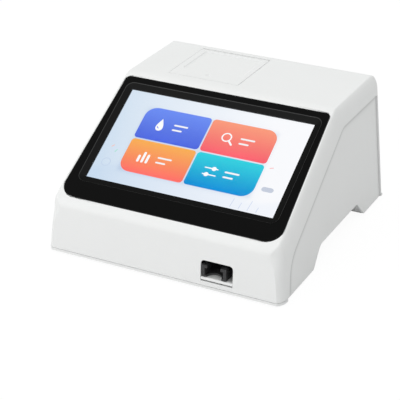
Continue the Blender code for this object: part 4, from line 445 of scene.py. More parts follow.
def brushedFinish(name, colour, rough, stretch, spread=0.10):
    # long thin streaks in one direction, in colour, gloss and bump
    finish = Finish(name)
    streaks = finish.noise(1, steel["streakDetail"], stretch)
    low = [c * (1 - spread) for c in colour]
    finish.surface({
        "Base Color": finish.blend(finish.span(streaks, 0, 1), low, colour),
        "Roughness": finish.span(streaks, rough + steel["glossFrom"], rough + steel["glossTo"]),
        "Metallic": 1,
    })
    finish.bump(streaks, steel["depth"], steel["bump"])


def clearFinish(name, colour, rough, bend=1.45):
    # clear, with faint smears in its gloss
    finish = Finish(name)
    smears = finish.noise(glass["smearScale"])
    finish.surface({
        "Base Color": (*colour, 1), "Transmission Weight": 1, "IOR": bend,
        "Roughness": finish.span(smears, rough, rough + glass["smear"]),
    })


def boardFinish(name, mask, trace, pad):
    # lighter tracks under the mask near the walls of a square cell pattern, tin pads in some cells
    finish, look = Finish(name), boardLook
    cells, lanes = (
        finish.add("ShaderNodeTexVoronoi", {"Scale": scale, "Vector": finish.points}, distance=kind)
        for scale, kind in ((look["padScale"], "CHEBYCHEV"), (look["trackScale"], "MANHATTAN"))
    )
    far = lanes.outputs["Distance"]
    tracks = finish.blend(finish.span(far, 0, 1, *look["trackEdge"]), mask, trace)
    pads = finish.span(cells.outputs["Distance"], 1, 0, *look["padEdge"])
    finish.surface({
        "Base Color": finish.blend(pads, tracks, pad),
        "Roughness": finish.span(pads, look["maskGloss"], look["padGloss"], 0, 1),
    })
    finish.bump(far, look["depth"], look["bump"])


def paperFinish(name, colour, centre):
    # thermal paper: wound layers show as rings on the roll's ends, where the normal points along x
    finish, look = Finish(name), paperLook
    moved = {"Location": [-c for c in centre], "Vector": finish.points}
    waves = {
        "Scale": look["ringScale"], "Distortion": look["waver"],
        "Vector": finish.add("ShaderNodeMapping", moved).outputs[0],
    }
    rings = finish.add("ShaderNodeTexWave", waves, wave_type="RINGS", rings_direction="X")
    value = finish.add("ShaderNodeSeparateXYZ", {0: finish.normal()})
    steps = (("ABSOLUTE", 0), ("LESS_THAN", look["endTurn"]), ("MAXIMUM", rings.outputs["Fac"]))
    for operation, other in steps:
        value = finish.add("ShaderNodeMath", {0: value.outputs[0], 1: other}, operation=operation)
    shaded = [c * look["ringShade"] for c in colour]
    finish.surface({
        "Base Color": finish.blend(value.outputs[0], shaded, colour),
        "Roughness": finish.span(finish.noise(look["patchScale"]), *look["gloss"]),
    })
    finish.bump(value.outputs[0], look["depth"], look["bump"])


def paintSlopeHighlight(finish, flat, pale, gain, down, left):
    # painted highlight: the more a face tilts from the sloping front, down it or to the left, the
    # paler the black is painted, as if it caught the light:
    # grey = flat + gain * (1 - normal . outward) + normal . (down the slope) * down + ... * left
    sine, cosine = math.sin(body["slope"]), math.cos(body["slope"])
    turn = gain * np.array((0, -sine, cosine)) + down * np.array((0, cosine, sine)) - (left, 0, 0)
    sides = {0: finish.normal(), 1: turn}
    facing = finish.add("ShaderNodeVectorMath", sides, operation="DOT_PRODUCT")
    grey = finish.span(facing.outputs["Value"], flat, pale, gain, gain + flat - pale)
    finish.surface({"Base Color": grey})


def paintShadeByPoint(finish):
    # painted shade: the colour is multiplied by the shade that is painted on the mesh's points
    source = finish.shader.inputs["Base Color"].links[0].from_socket
    shade = finish.add("ShaderNodeAttribute", attribute_name="picture").outputs["Color"]
    finish.surface({"Base Color": finish.blend(1, source, shade, blend_type="MULTIPLY")})


def litFinish(name):
    # the screen gives its own light, in the colours painted on its points
    finish, look = Finish(name), litLook
    paint = finish.add("ShaderNodeVertexColor", layer_name="picture").outputs["Color"]
    finish.surface({
        "Base Color": look["colour"], "Roughness": look["rough"],
        "Specular IOR Level": look["gloss"],
        "Emission Color": paint, "Emission Strength": look["strength"],
    })


white = {"colour": (0.80, 0.803, 0.802), "rough": 0.40, "spread": 0.006, "grain": 2200,
         "depth": 0.000012}
coarse = {"spread": 0.10, "grain": 1400, "depth": 0.00003}
mouldedFinish("whiteShell", **white)
# the side panels' white carries a painted shade along the recess's edge
paintShadeByPoint(mouldedFinish("whitePanel", **white))
mouldedFinish("whiteInner", (0.74, 0.745, 0.745), 0.48, spread=0.012)
# the black frame's tilted faces get a painted highlight
frameBlack = mouldedFinish("blackFrame", (0.003,) * 3, 0.34, grain=2600, depth=0.00001, gloss=0.04)
paintSlopeHighlight(frameBlack, **frameLook)
mouldedFinish("blackMatte", (0.012, 0.012, 0.013), 0.62, gloss=0.25, **coarse)
mouldedFinish("holderBlack", (0.030, 0.030, 0.032), 0.55, **coarse)
mouldedFinish("anodised", (0.035, 0.035, 0.038), 0.42, spread=0.08, metal=0.6)
mouldedFinish("gearPlastic", (0.80, 0.78, 0.72), 0.45)
mouldedFinish("rubber", (0.040, 0.040, 0.042), 0.78, spread=0.12, grain=900, depth=0.00005)
brushedFinish("sheetSteel", (0.52, 0.53, 0.54), 0.34, (30, 900, 900))
brushedFinish("brightSteel", (0.66, 0.66, 0.67), 0.20, (60, 700, 700), 0.05)
brushedFinish("brass", (0.72, 0.50, 0.20), 0.28, (900, 60, 900), 0.12)
clearFinish("clearGlass", (1.0, 1.0, 1.0), 0.0)
clearFinish("coatedGlass", (1.0, 1.0, 1.0), 0.0, bend=1.10)
clearFinish("tintedGlass", (0.85, 0.42, 0.16), 0.02)
boardFinish("board", (0.010, 0.085, 0.035), (0.020, 0.150, 0.060), (0.62, 0.60, 0.55))
paperFinish("paper", (0.88, 0.88, 0.85), (-0.039, 0.09141, 0.12814))
mouldedFinish("panelFace", (0.10, 0.11, 0.13), 0.35, spread=0.05)
litFinish("litPicture")
print("finishes ready,", len(finishes))

slotFinishes = {
    "white_shell": "whiteShell", "white_inner": "whiteInner", "black_gloss": "blackFrame",
    "black_matte": "blackMatte", "clear_glass": "clearGlass", "display": "panelFace",
    "board": "board", "sheet_steel": "sheetSteel", "bright_steel": "brightSteel",
    "anodised": "anodised", "brass": "brass", "rubber": "rubber", "paper": "paper",
    "gear_plastic": "gearPlastic", "tinted_glass": "tintedGlass",
}
slotOf = {name: node.data.materials[0].name.split(".")[0] for name, node in nodes.items()}
for name, node in nodes.items():
    node.material_slots[0].material = finishes[slotFinishes[slotOf[name]]]
nodes["touch_glass"].material_slots[0].material = finishes["coatedGlass"]    # against glare

# upper casing: flat faces with their openings, arcs between them, and the sides with a window
casing = {
    # the side window, in from the front, slope, top and rear, and its corners' radii
    "window": {
        "front": 0.0195, "lean": math.radians(8), "slope": 0.0280, "top": 0.0253, "rear": 0.0045,
    },
    "windowRadii": (0, 0, 0.0020, 0.0240, 0.0380),
    "windowRim": 0.0012,
    "openingLip": 0.0003,
    "lipBand": 0.0002,
    "innerBand": 0.0010,
    "filletSteps": 7,
    "lipSteps": 4,
    # (left, right, low, high) of each opening on its face, and its corners' radii
    "openings": {
        "rear": ((-0.0983, 0.0983, 0.0157, 0.1183), (0.0033,) * 4),
        "top": ((-0.0826, 0.0046, 0.176667, 0.265387), (0.0015, 0.0015, 0.0003, 0.0003)),
        "front": ((0.0473, 0.0843, 0.0079, 0.03214), (0.0004, 0.0004, 0.0042, 0.0042)),
    },
    "bezel": {"low": 0.0092, "high": 0.1788, "side": 0.0063, "gap": 0.0003},
    "bezelRadii": (0.0178, 0.0178, 0.0063, 0.0063),
}
posts = {
    "across": 0.1120, "backs": (-0.13945, 0.13885), "low": 0.0080, "high": 0.0380,
    "outer": 0.0040, "inner": 0.0018, "steps": 24,
}


def sideValues(knots):
    # the values at the knots, read point by point along the side view and evened out
    steps, arc = body["sideSteps"], body["arcSteps"]
    flat, bend = np.arange(steps) / steps, np.arange(arc) / arc
    place = [part for i in (0, 2, 4) for part in (i + flat, i + 1 + bend)]
    place = np.concatenate((*place, 6 + flat, [7]))
    values, even = np.interp(place, *np.transpose(knots)), body["evenOver"]
    return np.convolve(np.pad(values, even // 2, "edge"), np.ones(even) / even, "valid")


def openSide(corners, radii):
    # the side view from the rear's lower end over the top to the front's, left open below
    steps = body["sideSteps"] + body["arcSteps"]
    points = roundCorners(corners, radii, body["arcSteps"], steps)
    first = steps + body["arcSteps"]
    return np.concatenate((points[first:], points[:1]))


def caseSide(inward, share=0.0):
    # each face moved in by a wall, and by a share of what is left of its rounding
    moves = inward + share * (np.array(body["edgeDown"]) - inward)
    arcs = [
        max(body[name] - (one + other) / 2, body["leastRadius"])
        for name, one, other in zip(("rearRadius", "ridgeRadius", "kneeRadius"), moves, moves[1:])
    ]
    return openSide(insetCorners(sideView, (0, *moves)), (0, 0, *arcs))


def caseReach(side, inward=0.0, across=1.0):
    # half width, less the band's lean, the wall and a share of the rounding
    radii, pull = sideValues(body["edgeAcross"]), sideValues(body["bandPull"])
    return halfWidth(side[:, 1]) - inward - pull - (radii - inward) * across


def windowCorners():
    # the sides moved in, and a front line y = start + z * tilt that meets the line up the slope
    window = casing["window"]
    sides = insetCorners(sideView, (0, window["rear"], window["top"], window["slope"], 0))
    tilt, slope = math.tan(window["lean"]), math.tan(body["slope"])
    start = window["front"] - body["footHeight"] * tilt
    rise = (sides[3][1] - slope * (sides[3][0] - start)) / (1 - slope * tilt)
    rear = rearBack(0) - window["rear"]
    return np.array([(start, 0), (rear, 0), sides[2], sides[3], (start + rise * tilt, rise)])


def windowSide(grown=0.0):
    # the window's outline grown outward, and cut off at the casing's bottom
    moves = (body["bottom"], -grown, -grown, -grown, -grown)
    radii = np.array(casing["windowRadii"]) + (0, 0, grown, grown, grown)
    return openSide(insetCorners(windowCorners(), moves), radii)


def caseSides():
    # from the outer edge, x = reach - R * across at an inset of R * deep, round the window's rim
    # and along the wall to the inner edge, which is the same inside the wall
    wall, rim, outer, inner = body["wall"], casing["windowRim"], [], []
    crease, faceCrease = sideValues(body["creaseAcross"]), np.array(body["edgeStart"])
    for share in np.linspace(0, 1, casing["filletSteps"] + 1):
        across, deep = creasedQuarter(share, crease)[0], creasedQuarter(share, faceCrease)[1]
        for rows, inward in ((outer, 0), (inner, wall)):
            side = caseSide(inward, deep)
            rows.append((caseReach(side, inward, across), side))
    lip = [(windowSide(rim * across), rim * deep) for across, deep in quarter(casing["lipSteps"])]
    lip.append((windowSide(), wall))
    rows = outer + [(halfWidth(side[:, 1]) - deep, side) for side, deep in lip] + inner[::-1]
    right = np.stack([inSpace(across, side) for across, side in rows])
    return [right, right * (-1, 1, 1)]


def bezelCorners(grown=0.0):
    # the screen frame's outline on the slope, narrower above because the sides lean in
    bezel = casing["bezel"]
    low, high = bezel["low"] - grown, bezel["high"] + grown
    below, above = (
        halfWidth(body["kneeHeight"] + up * math.sin(body["slope"])) - bezel["side"] + grown
        for up in (low, high)
    )
    return [(-below, low), (below, low), (above, high), (-above, high)]


def faceRing(line, reach):
    # the four sides of a flat face, whose half width follows its line in side view
    shares = np.linspace(-1, 1, len(line))
    return np.concatenate((
        inSpace(shares * reach[0], line[0])[:-1], inSpace(reach, line)[:-1],
        inSpace(shares[::-1] * reach[-1], line[-1])[:-1], inSpace(-reach[::-1], line[::-1])[:-1],
    ))


def caseFaces():
    # each face runs from its outer sides to its opening, over the lip and back along the wall
    wall, lip, steps, arc = body["wall"], casing["openingLip"], body["sideSteps"], body["arcSteps"]
    openings = {face: (rectangle(*box), radii) for face, (box, radii) in casing["openings"].items()}
    openings["slope"] = bezelCorners(casing["bezel"]["gap"]), casing["bezelRadii"]
    section = [(-lip - casing["lipBand"], 0)]
    section += [(-lip * across, -lip * deep) for across, deep in quarter(casing["lipSteps"])]
    section += [(0, -wall), (-casing["innerBand"], -wall)]
    skins = [(caseSide(inward), caseReach(caseSide(inward), inward)) for inward in (0, wall)]
    shares = np.linspace(-1, 1, steps + 1)
    sheets, position = [], 0
    for face in ("rear", "top", "slope", "front"):
        uphill = 1 if face == "rear" else -1          # the others run downhill in side view
        part = slice(position, position + steps + 1)
        ends = [(side[part][::uphill], reach[part][::uphill]) for side, reach in skins]
        middle = sectionRings(face, *openings[face], section)
        sheets.append((np.stack([faceRing(*ends[0]), *middle, faceRing(*ends[1])]), False, True))
        position += steps
        if face != "front":
            strip = slice(position, position + arc + 1)
            for side, reach in skins:
                bend = inSpace(shares[None, :] * reach[strip, None], side[strip, None, :])
                sheets.append((bend, False, False))
            position += arc
    return sheets


def screwPost(across, back):
    # a hollow post: rings of radius r at height z, joined round and closed on itself
    radius = np.array([posts[edge] for edge in ("inner", "outer", "outer", "inner")])
    height = np.array([posts[end] for end in ("low", "low", "high", "high")])
    circle = directions(0, 2 * np.pi, posts["steps"])[:-1]
    flat = (across, back) + radius[:, None, None] * circle
    tall = np.broadcast_to(height[:, None, None], (*flat.shape[:2], 1))
    return np.concatenate((flat, tall), -1), True, True


shellSheets = caseFaces() + [(sheet, False, False) for sheet in caseSides()]
shellSheets += [
    screwPost(hand * posts["across"], back) for hand in (-1, 1) for back in posts["backs"]
]
buildPiece("casingShell", shellSheets, "whiteShell", ("upper_casing",))
print("casing shell built")

# side panels: set back in the casing's window, with the arch between two feet, and a painted shade
# along the window's edge
sidePanel = {
    "setBack": 0.0016, "thickness": 0.0040, "gap": 0.0003, "edge": 0.0011, "edgeSteps": 5,
    "frontFoot": 0.0870, "rearFoot": 0.0562, "archTop": 0.0225,
    # its corners' radii, from the front along the bottom, up the rear and back over the top
    "radii": (0.0004, 0.0040, 0.0140, 0.0070, 0.0040, 0.0004, 0.0017, 0.0237, 0.0377),
    # painted shade in the recess's corner: how far from it, (how soft, how dark), and the rings
    # that carry it
    "shadeWide": 0.0038, "shades": ((0.0034, 0.17), (0.0078, 0.08)),
    "shadeRings": (0.0116, 0.0098, 0.0082, 0.0068, 0.0056, 0.0046, 0.0037, 0.0028),
    # a line that runs down and forward has the whole shade, one that runs up the least share
    "shadeRun": (-0.30, -1.15), "shadeLeast": 0.2,
}


def panelCorners():
    # the window's outline less the gap, with an arch whose ends rise at 45 degrees
    foot, top, gap = body["footHeight"], sidePanel["archTop"], sidePanel["gap"]
    front, *others = insetCorners(windowCorners(), (foot, gap, gap, gap, gap))
    run, ahead, behind = top - foot, sidePanel["frontFoot"], body["depth"] - sidePanel["rearFoot"]
    return [
        front, (ahead, foot), (ahead + run, top), (behind - run, top), (behind, foot), *others,
    ]


def fromWindow(side):
    # each point's distance from the window's outline, and the nearest line's direction
    line = windowSide()
    start, along = line[:-1], np.diff(line, axis=0)
    gap = side[:, None] - start
    run = np.clip((gap * along).sum(-1) / (along ** 2).sum(-1), 0, 1)
    far = np.linalg.norm(gap - run[..., None] * along, axis=-1)
    nearest = far.argmin(1)
    return far.min(1), along[nearest] / np.linalg.norm(along[nearest], axis=-1)[:, None]


def paintedPanelShade(side):
    # 1 on the open panel, painted darker towards the window's edge as shade in the recess's corner,
    # widest under the front and the slope
    far, along = fromWindow(side)
    share = np.clip(along @ sidePanel["shadeRun"], sidePanel["shadeLeast"], 1)
    away, shades = far - sidePanel["shadeWide"] * share, sidePanel["shades"]
    shade = 1 - sum(dark * (1 - smoothStep(away / soft)) for soft, dark in shades)
    return np.stack((shade, shade, shade, np.ones(len(shade))), -1)


def sidePanelSheet(hand):
    # (how far in, how deep): the open panel, its rounded edge and its back
    setBack, edge = sidePanel["setBack"], sidePanel["edge"]
    section = [(inward, setBack) for inward in sidePanel["shadeRings"]]
    for across, deep in quarter(sidePanel["edgeSteps"]):
        section.append((edge * across, setBack + edge * deep))
    section.append((0, setBack + sidePanel["thickness"]))
    sides = [outline(panelCorners(), sidePanel["radii"], inward) for inward, deep in section]
    sheet = [
        inSpace(hand * (halfWidth(side[:, 1]) - deep), side)
        for side, (inward, deep) in zip(sides, section)
    ]
    return (np.stack(sheet), False, True), np.concatenate([paintedPanelShade(side) for side in sides])


for hand, name in ((-1, "left"), (1, "right")):
    sheet, shades = sidePanelSheet(hand)
    buildPiece(
        name + "PanelShell", [sheet], "whitePanel", (name + "_side_panel",),
        colours=[shades],
    )
print("side panels built")

# screen frame: a black band with a slope down to the glass
screen = {
    "halfWidth": 0.1108, "low": 0.0397, "high": 0.1628, "margin": 0.0004,
    "thickness": 0.0055, "edge": 0.0006, "edgeSteps": 4, "rim": 0.0010,
    "slopeWidth": 0.0075, "slopeDepth": 0.0022, "step": 0.0006, "lip": 0.0006, "lipEdge": 0.0003,
    "lipDrop": 0.0001, "pocketHalf": 0.11780, "pocketLow": 0.02790, "pocketHigh": 0.17150,
    "outerRadii": (0.0175, 0.0175, 0.0060, 0.0060), "slopeRadii": (0.0012, 0.0010, 0.0003),
}


def screenFrame():
    # from the back up the outer side, over the rounded edge, down the slope and round the pocket
    half, margin = screen["halfWidth"] + screen["margin"], screen["margin"]
    window = rectangle(-half, half, screen["low"] - margin, screen["high"] + margin)
    half = screen["pocketHalf"]
    pocket = rectangle(-half, half, screen["pocketLow"], screen["pocketHigh"])
    edge, deep, wide, step = (screen[key] for key in ("edge", "slopeDepth", "slopeWidth", "step"))
    floor, back = -deep - screen["lip"], -screen["thickness"]
    outer = [(0, back)]
    outer += [(edge * across, -edge * down) for across, down in quarter(screen["edgeSteps"])[::-1]]
    outer.append((edge + screen["rim"], 0))
    rings = [(bezelCorners(), screen["outerRadii"], *place) for place in outer]
    upper, lower, inner = ((radius,) * 4 for radius in screen["slopeRadii"])
    rings += [
        (window, upper, -wide - step / 2, 0), (window, lower, -wide + step / 2, -step),
        (window, inner, -screen["lipEdge"], -deep), (window, inner, 0, -deep - screen["lipDrop"]),
        (window, inner, 0, floor), (pocket, inner, 0, floor), (pocket, inner, 0, back),
    ]
    sheet = [onFace("slope", outline(*ring), out) for *ring, out in rings]
    return np.stack(sheet), True, True


buildPiece("screenFrame", [screenFrame()], "blackFrame", ("screen_bezel",), 24)
print("screen frame built")

# the picture on the lit screen: four rounded tiles with plain signs on a pale ground
picture = {
    # the sheets of paint lie a step apart, counted up from the ground
    "lift": -0.00508, "step": 0.000012,
    "groundLayer": 0, "strokeLayer": 0.5, "tileLayer": 1, "signLayer": 3, "topLayer": 4,
    "centre": (-0.0025, 0.1022),
    "tileHalf": (0.0395, 0.0217), "tileRadius": 0.0040, "outerRadius": 0.0135, "tileGap": 0.0017,
    "tileSteps": (8, 16), "tileRows": 9,
    "sheen": 0.10, "sheenDown": 0.9, "sheenSize": (0.9, 0.4),
    # each tile: which way it lies from the centre, and its colours above and below
    "tiles": {
        "upperLeft": ((-1, 1), (0.150, 0.270, 0.900), (0.068, 0.125, 0.700)),
        "upperRight": ((1, 1), (0.950, 0.330, 0.200), (0.900, 0.105, 0.150)),
        "lowerLeft": ((-1, -1), (0.940, 0.430, 0.090), (0.950, 0.140, 0.130)),
        "lowerRight": ((1, -1), (0.030, 0.640, 0.740), (0.000, 0.240, 0.640)),
    },
}
ground = {
    "left": (0.612, 0.735, 0.870), "right": (0.940, 0.950, 0.978), "margin": 0.001,
    "columns": 150, "rows": 90,
    # how much it pales to the right and upward, less what stays dark, and how fast
    "paleRight": 1.12, "paleUp": 0.16, "paleLate": 0.06, "palePower": 0.8,
    "hazeDown": 0.0014, "hazeInside": 0.004, "hazeSoft": 0.0042, "haze": (0.198, 0.165, 0.099),
    # (how fast, where it starts) of the two waves that make the hills
    "hillWaves": ((46, 1.1), (17, 0.4)), "hillLow": 0.014, "hillTall": 0.018, "hillSoft": 0.0014,
    "hill": (0.054, 0.036, 0.009),
    # (start, end, width, colour) of the faint strokes: posts, a block and three ticks
    "strokes": (
        ((0.060, 0.0430), (0.06126, 0.0535), 0.0007, (0.62, 0.69, 0.86)),
        ((0.070, 0.0430), (0.07090, 0.0505), 0.0007, (0.62, 0.69, 0.86)),
        ((0.080, 0.0430), (0.08144, 0.0550), 0.0007, (0.62, 0.69, 0.86)),
        ((0.090, 0.0430), (0.09072, 0.0490), 0.0007, (0.62, 0.69, 0.86)),
        ((0.0875, 0.0725), (0.0955, 0.0725), 0.0058, (0.56, 0.61, 0.72)),
        ((-0.1010, 0.0850), (-0.0990, 0.0872), 0.0011, (0.93, 0.52, 0.42)),
        ((-0.0945, 0.0790), (-0.0930, 0.0822), 0.0011, (0.36, 0.76, 0.62)),
        ((0.0838, 0.0990), (0.0872, 0.1002), 0.0011, (0.94, 0.50, 0.50)),
    ),
    "ring": ((-0.0985, 0.0640), 0.0047, 0.0054), "ringColour": (0.53, 0.64, 0.82),
}
signs = {
    "left": 0.0160, "white": np.array((0.97, 0.97, 0.98)), "roundSteps": 40,
    "drop": {"up": 0.0005, "half": 0.0062, "tall": 0.0084, "taper": 1.6},
    "glint": {"down": 0.0025, "inner": 0.0021, "outer": 0.0029, "pale": 1.3, "steps": 10},
    "lens": {"up": 0.0015, "inner": 0.0044, "outer": 0.0060, "handle": (0.0046, 0.0084),
             "thick": 0.0022},
    "bars": {"tall": (0.0065, 0.0115, 0.0090), "apart": 0.0052, "down": 0.0058, "thick": 0.0030},
    # (how far up, how far along the knob is) of each slider
    "sliders": {"places": ((0.0042, 0.0030), (-0.0042, -0.0032)), "half": 0.0075, "thick": 0.0014,
                "knob": 0.0027},
    # (how far up, how long) of the two lines beside each sign
    "lines": {"places": ((0.0032, 0.0150), (-0.0032, 0.0098)), "right": 0.0010, "thick": 0.0022,
              "shade": 0.93},
}
pictureSheets, pictureColours = [], []


def addPaint(flat, colour, layer="signLayer"):
    # a sheet of the picture with its colours, one for each point
    flat = np.asarray(flat, float)
    lifted = onFace("slope", flat, picture["lift"] + picture[layer] * picture["step"])
    pictureSheets.append((lifted, False, False))
    paint = np.ones((*flat.shape[:-1], 4))
    paint[..., :3] = colour
    pictureColours.append(paint.reshape(-1, 4))


def disc(edge, rows=2):
    # an outline filled by shrinking it to its middle
    middle = edge.mean(0)
    share = np.linspace(1, 0, rows)[:, None, None]
    return middle + (np.concatenate((edge, edge[:1])) - middle) * share


def bar(start, end, width, steps=6):
    # a line with round ends: its ends plus and minus half a circle of half its width
    start, end = np.array(start), np.array(end)
    along = (end - start) / np.linalg.norm(end - start)
    turns = directions(np.pi / 2, 3 * np.pi / 2, steps)
    cap = turns @ np.array((along, (-along[1], along[0]))) * width / 2
    return disc(np.concatenate((start + cap, end - cap)))


def ringBand(centre, inner, outer, start=0.0, end=2 * np.pi, steps=28):
    # two rows, at the inner and the outer radius
    spoke = directions(start, end, steps)
    return np.stack((centre + inner * spoke, centre + outer * spoke))


def paintGround():
    # the ground pales to the right and upward, with a faint darker haze round the tiles
    margin = ground["margin"]
    half, low, high = screen["halfWidth"] + margin, screen["low"] - margin, screen["high"] + margin
    across, up = np.meshgrid(
        np.linspace(-half, half, ground["columns"]), np.linspace(low, high, ground["rows"])
    )
    flat = np.stack((across, up), -1)
    rightward, upward = (across / half + 1) / 2, (up - low) / (high - low)
    share = rightward * ground["paleRight"] + upward * ground["paleUp"] - ground["paleLate"]
    share = np.clip(share, 0, 1)[..., None] ** ground["palePower"]
    left, right = np.array(ground["left"]), np.array(ground["right"])
    reach = np.array(picture["tileHalf"]) * 2 + picture["tileGap"] / 2 - ground["hazeInside"]
    away = np.maximum(np.abs(flat - picture["centre"] + (0, ground["hazeDown"])) - reach, 0)
    haze = np.exp(-(np.linalg.norm(away, axis=-1) / ground["hazeSoft"]) ** 2)
    # soft wide waves, like hills, in the lower part: half of 1 plus the product of two sines
    wave, other = (np.sin(across * fast + start) for fast, start in ground["hillWaves"])
    top = low + ground["hillLow"] + ground["hillTall"] * (0.5 + 0.5 * wave * other)
    hill = 1 / (1 + np.exp((up - top) / ground["hillSoft"]))
    colour = (left + (right - left) * share) * (1 - haze[..., None] * ground["haze"])
    addPaint(flat, colour * (1 - hill[..., None] * ground["hill"]), "groundLayer")
    for start, end, width, colour in ground["strokes"]:
        addPaint(bar(start, end, width), colour, "strokeLayer")
    addPaint(ringBand(*ground["ring"]), ground["ringColour"], "strokeLayer")


def paintTile(hand, top, bottom):
    # colour from bottom to top with a soft sheen; the tile's outer corner is wider than the others
    half, gap = np.array(picture["tileHalf"]), picture["tileGap"] / 2
    ways = np.array(rectangle(-1, 1, -1, 1))
    centre = picture["centre"] + np.array(hand) * (half + gap)
    radii = np.where((ways == hand).all(1), picture["outerRadius"], picture["tileRadius"])
    edge = outline(centre + half * ways, radii, 0, *picture["tileSteps"])
    flat = disc(edge, picture["tileRows"])
    share = np.clip((flat[..., 1:] - centre[1] + half[1]) / (2 * half[1]), 0, 1)
    colour = np.array(bottom) + (np.array(top) - bottom) * share
    away = (flat - centre + (0, half[1] * picture["sheenDown"])) / (half * picture["sheenSize"])
    sheen = np.exp(-away ** 2).prod(-1)[..., None]
    addPaint(flat, np.clip(colour * (1 + picture["sheen"] * sheen), 0, 1), "tileLayer")
    return centre


def paintSigns(centres):
    # a drop, a lens, three bars and two sliders, each beside two plain lines
    left, pale = signs["left"], signs["white"]
    drop, glint, lens, bars, sliders, lines = (
        signs[name] for name in ("drop", "glint", "lens", "bars", "sliders", "lines")
    )
    # the drop: half * sin(t / 2) ^ taper * sin t across, zero at its point, and tall * cos t up
    at = centres["upperLeft"] + (-left, drop["up"])
    turn = np.linspace(0, 2 * np.pi, signs["roundSteps"] + 1)[:-1]
    across = drop["half"] * np.sin(turn / 2) ** drop["taper"] * np.sin(turn)
    addPaint(disc(at + np.stack((across, drop["tall"] * np.cos(turn)), -1)), pale)
    radii, turns = (glint["inner"], glint["outer"]), (np.pi, 1.5 * np.pi, glint["steps"])
    blue = np.array(picture["tiles"]["upperLeft"][2]) * glint["pale"]
    addPaint(ringBand(at - (0, glint["down"]), *radii, *turns), blue, "topLayer")
    at = centres["upperRight"] + (-left, lens["up"])
    addPaint(ringBand(at, lens["inner"], lens["outer"]), pale)
    near, far = (at + (reach, -reach) for reach in lens["handle"])
    addPaint(bar(near, far, lens["thick"]), pale)
    at = centres["lowerLeft"] + (-left, 0)
    for place, tall in zip((-1, 0, 1), bars["tall"]):
        foot = at + (place * bars["apart"], -bars["down"])
        addPaint(bar(foot, foot + (0, tall), bars["thick"]), pale)
    at = centres["lowerRight"] + (-left, 0)
    circle = directions(0, 2 * np.pi, signs["roundSteps"])[:-1]
    for up, slide in sliders["places"]:
        ends = (at + (reach, up) for reach in (-sliders["half"], sliders["half"]))
        addPaint(bar(*ends, sliders["thick"]), pale)
        addPaint(disc(at + (slide, up) + sliders["knob"] * circle), pale, "topLayer")
    for centre in centres.values():
        for up, length in lines["places"]:
            start = centre + (lines["right"], up)
            addPaint(bar(start, start + (length, 0), lines["thick"]), pale * lines["shade"])


paintGround()
paintSigns({name: paintTile(*tile) for name, tile in picture["tiles"].items()})
buildPiece(
    "screenPicture", pictureSheets, "litPicture", (),
    colours=pictureColours, closed=False,
)
print("screen picture painted")

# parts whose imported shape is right, with (width, segments) of their softened edges
softened = {
    "card_holder": (0.00070, 3), "rear_panel": (0.00025, 2), "paper_bin": (0.00030, 2),
    "print_head": (0.00040, 2), "power_switch_frame": (0.00030, 2), "switch_rocker": (0.00050, 3),
    "power_socket": (0.00025, 2), "network_socket": (0.00025, 2), "data_socket_1": (0.00015, 2),
    "data_socket_2": (0.00015, 2), "fan_frame": (0.00025, 2), "fan_rotor": (0.00015, 2),
    "paper_roll": (0.00050, 2), "platen_sleeve": (0.00030, 2), "platen_shaft": (0.00020, 2),
    "platen_gear": (0.00008, 1), "motor_pinion": (0.00008, 1), "lid_hinge_pin": (0.00020, 2),
    "printer_motor": (0.00030, 2),
    **{f"rubber_foot_{end}_{side}": (0.00050, 2)
       for end in ("front", "rear") for side in ("left", "right")},
}
ownFinish = {"card_holder": "holderBlack"}
for node, (width, segments) in softened.items():
    name = node.title().replace("_", "")
    finish = ownFinish.get(node) or slotFinishes[slotOf[node]]
    softCopy(node, name[0].lower() + name[1:], finish, width, segments)
print("softened copies made,", len(softened))

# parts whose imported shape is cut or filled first
lid = {
    "centre": -0.0390, "front": 0.176967, "top": 0.157135, "floor": 0.1558,
    "recessHalf": 0.0360, "recessFront": 0.0230, "recessRear": 0.258267, "recessRadius": 0.0020,
    # (how far in from the recess's edge, how deep): a rounded brow, a steep wall and a round foot
    "recessSection": (
        (-0.0014, -0.0010), (-0.0011, 0), (-0.0007, 0.00004), (-0.00035, 0.00016),
        (-0.0001, 0.00036), (0.0001, 0.00060), (0.00035, 0.00082), (0.0007, 0.00098),
        (0.0012, 0.00106), (0.0018, 0.00110),
    ),
    "dimpleBack": 0.189967, "dimpleSteps": 48,
    # (radius, how deep)
    "dimpleSection": (
        (0.0036, -0.0010), (0.0032, 0), (0.0029, 0.00008), (0.0026, 0.00030),
        (0.0021, 0.00070), (0.0014, 0.00105), (0.0007, 0.00125), (0.0001, 0.00130),
    ),
    # how far the filler goes beyond the recess at the sides, from the lid's front and at the rear
    "fillSide": 0.002, "fillFront": 0.002, "fillRear": 0.001, "fillRadius": 0.0001,
}
base = {"edgeSteps": 11, "behind": 0.4, "below": -0.16, "above": 0.01}
tray = {
    "lip": 0.0005, "radius": 0.0020, "steps": 8, "beyond": 0.001,
    "stepBack": 0.0030, "stepRise": 0.0005,     # a step under the lip widens the slit
}


def lidMesh():
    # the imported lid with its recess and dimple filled, then cut again with rounded walls
    centre, front, rear = lid["centre"], lid["front"], lid["recessRear"]
    left, right = centre - lid["recessHalf"], centre + lid["recessHalf"]
    corners = rectangle(left, right, front + lid["recessFront"], rear)
    ahead, behind, beside = front + lid["fillFront"], rear + lid["fillRear"], lid["fillSide"]
    filler = rectangle(left - beside, right + beside, ahead, behind)
    ends = ((0, lid["floor"] - lid["top"]), (0, 0))
    block = sectionRings("top", filler, (lid["fillRadius"],) * 4, ends)
    recess = sectionRings(
        "top", corners, (lid["recessRadius"],) * 4,
        [(inward, -deep) for inward, deep in lid["recessSection"]],
    )
    circle = directions(0, 2 * np.pi, lid["dimpleSteps"])[:-1]
    dimple = [
        onFace("top", (centre, lid["dimpleBack"]) + radius * circle, -deep)
        for radius, deep in lid["dimpleSection"]
    ]
    mesh = mergedMesh("printer_lid")
    for rings, operation in ((block, "UNION"), (recess, "DIFFERENCE"), (dimple, "DIFFERENCE")):
        mesh = combine(mesh, toolMesh(*rings), operation)
    return mesh


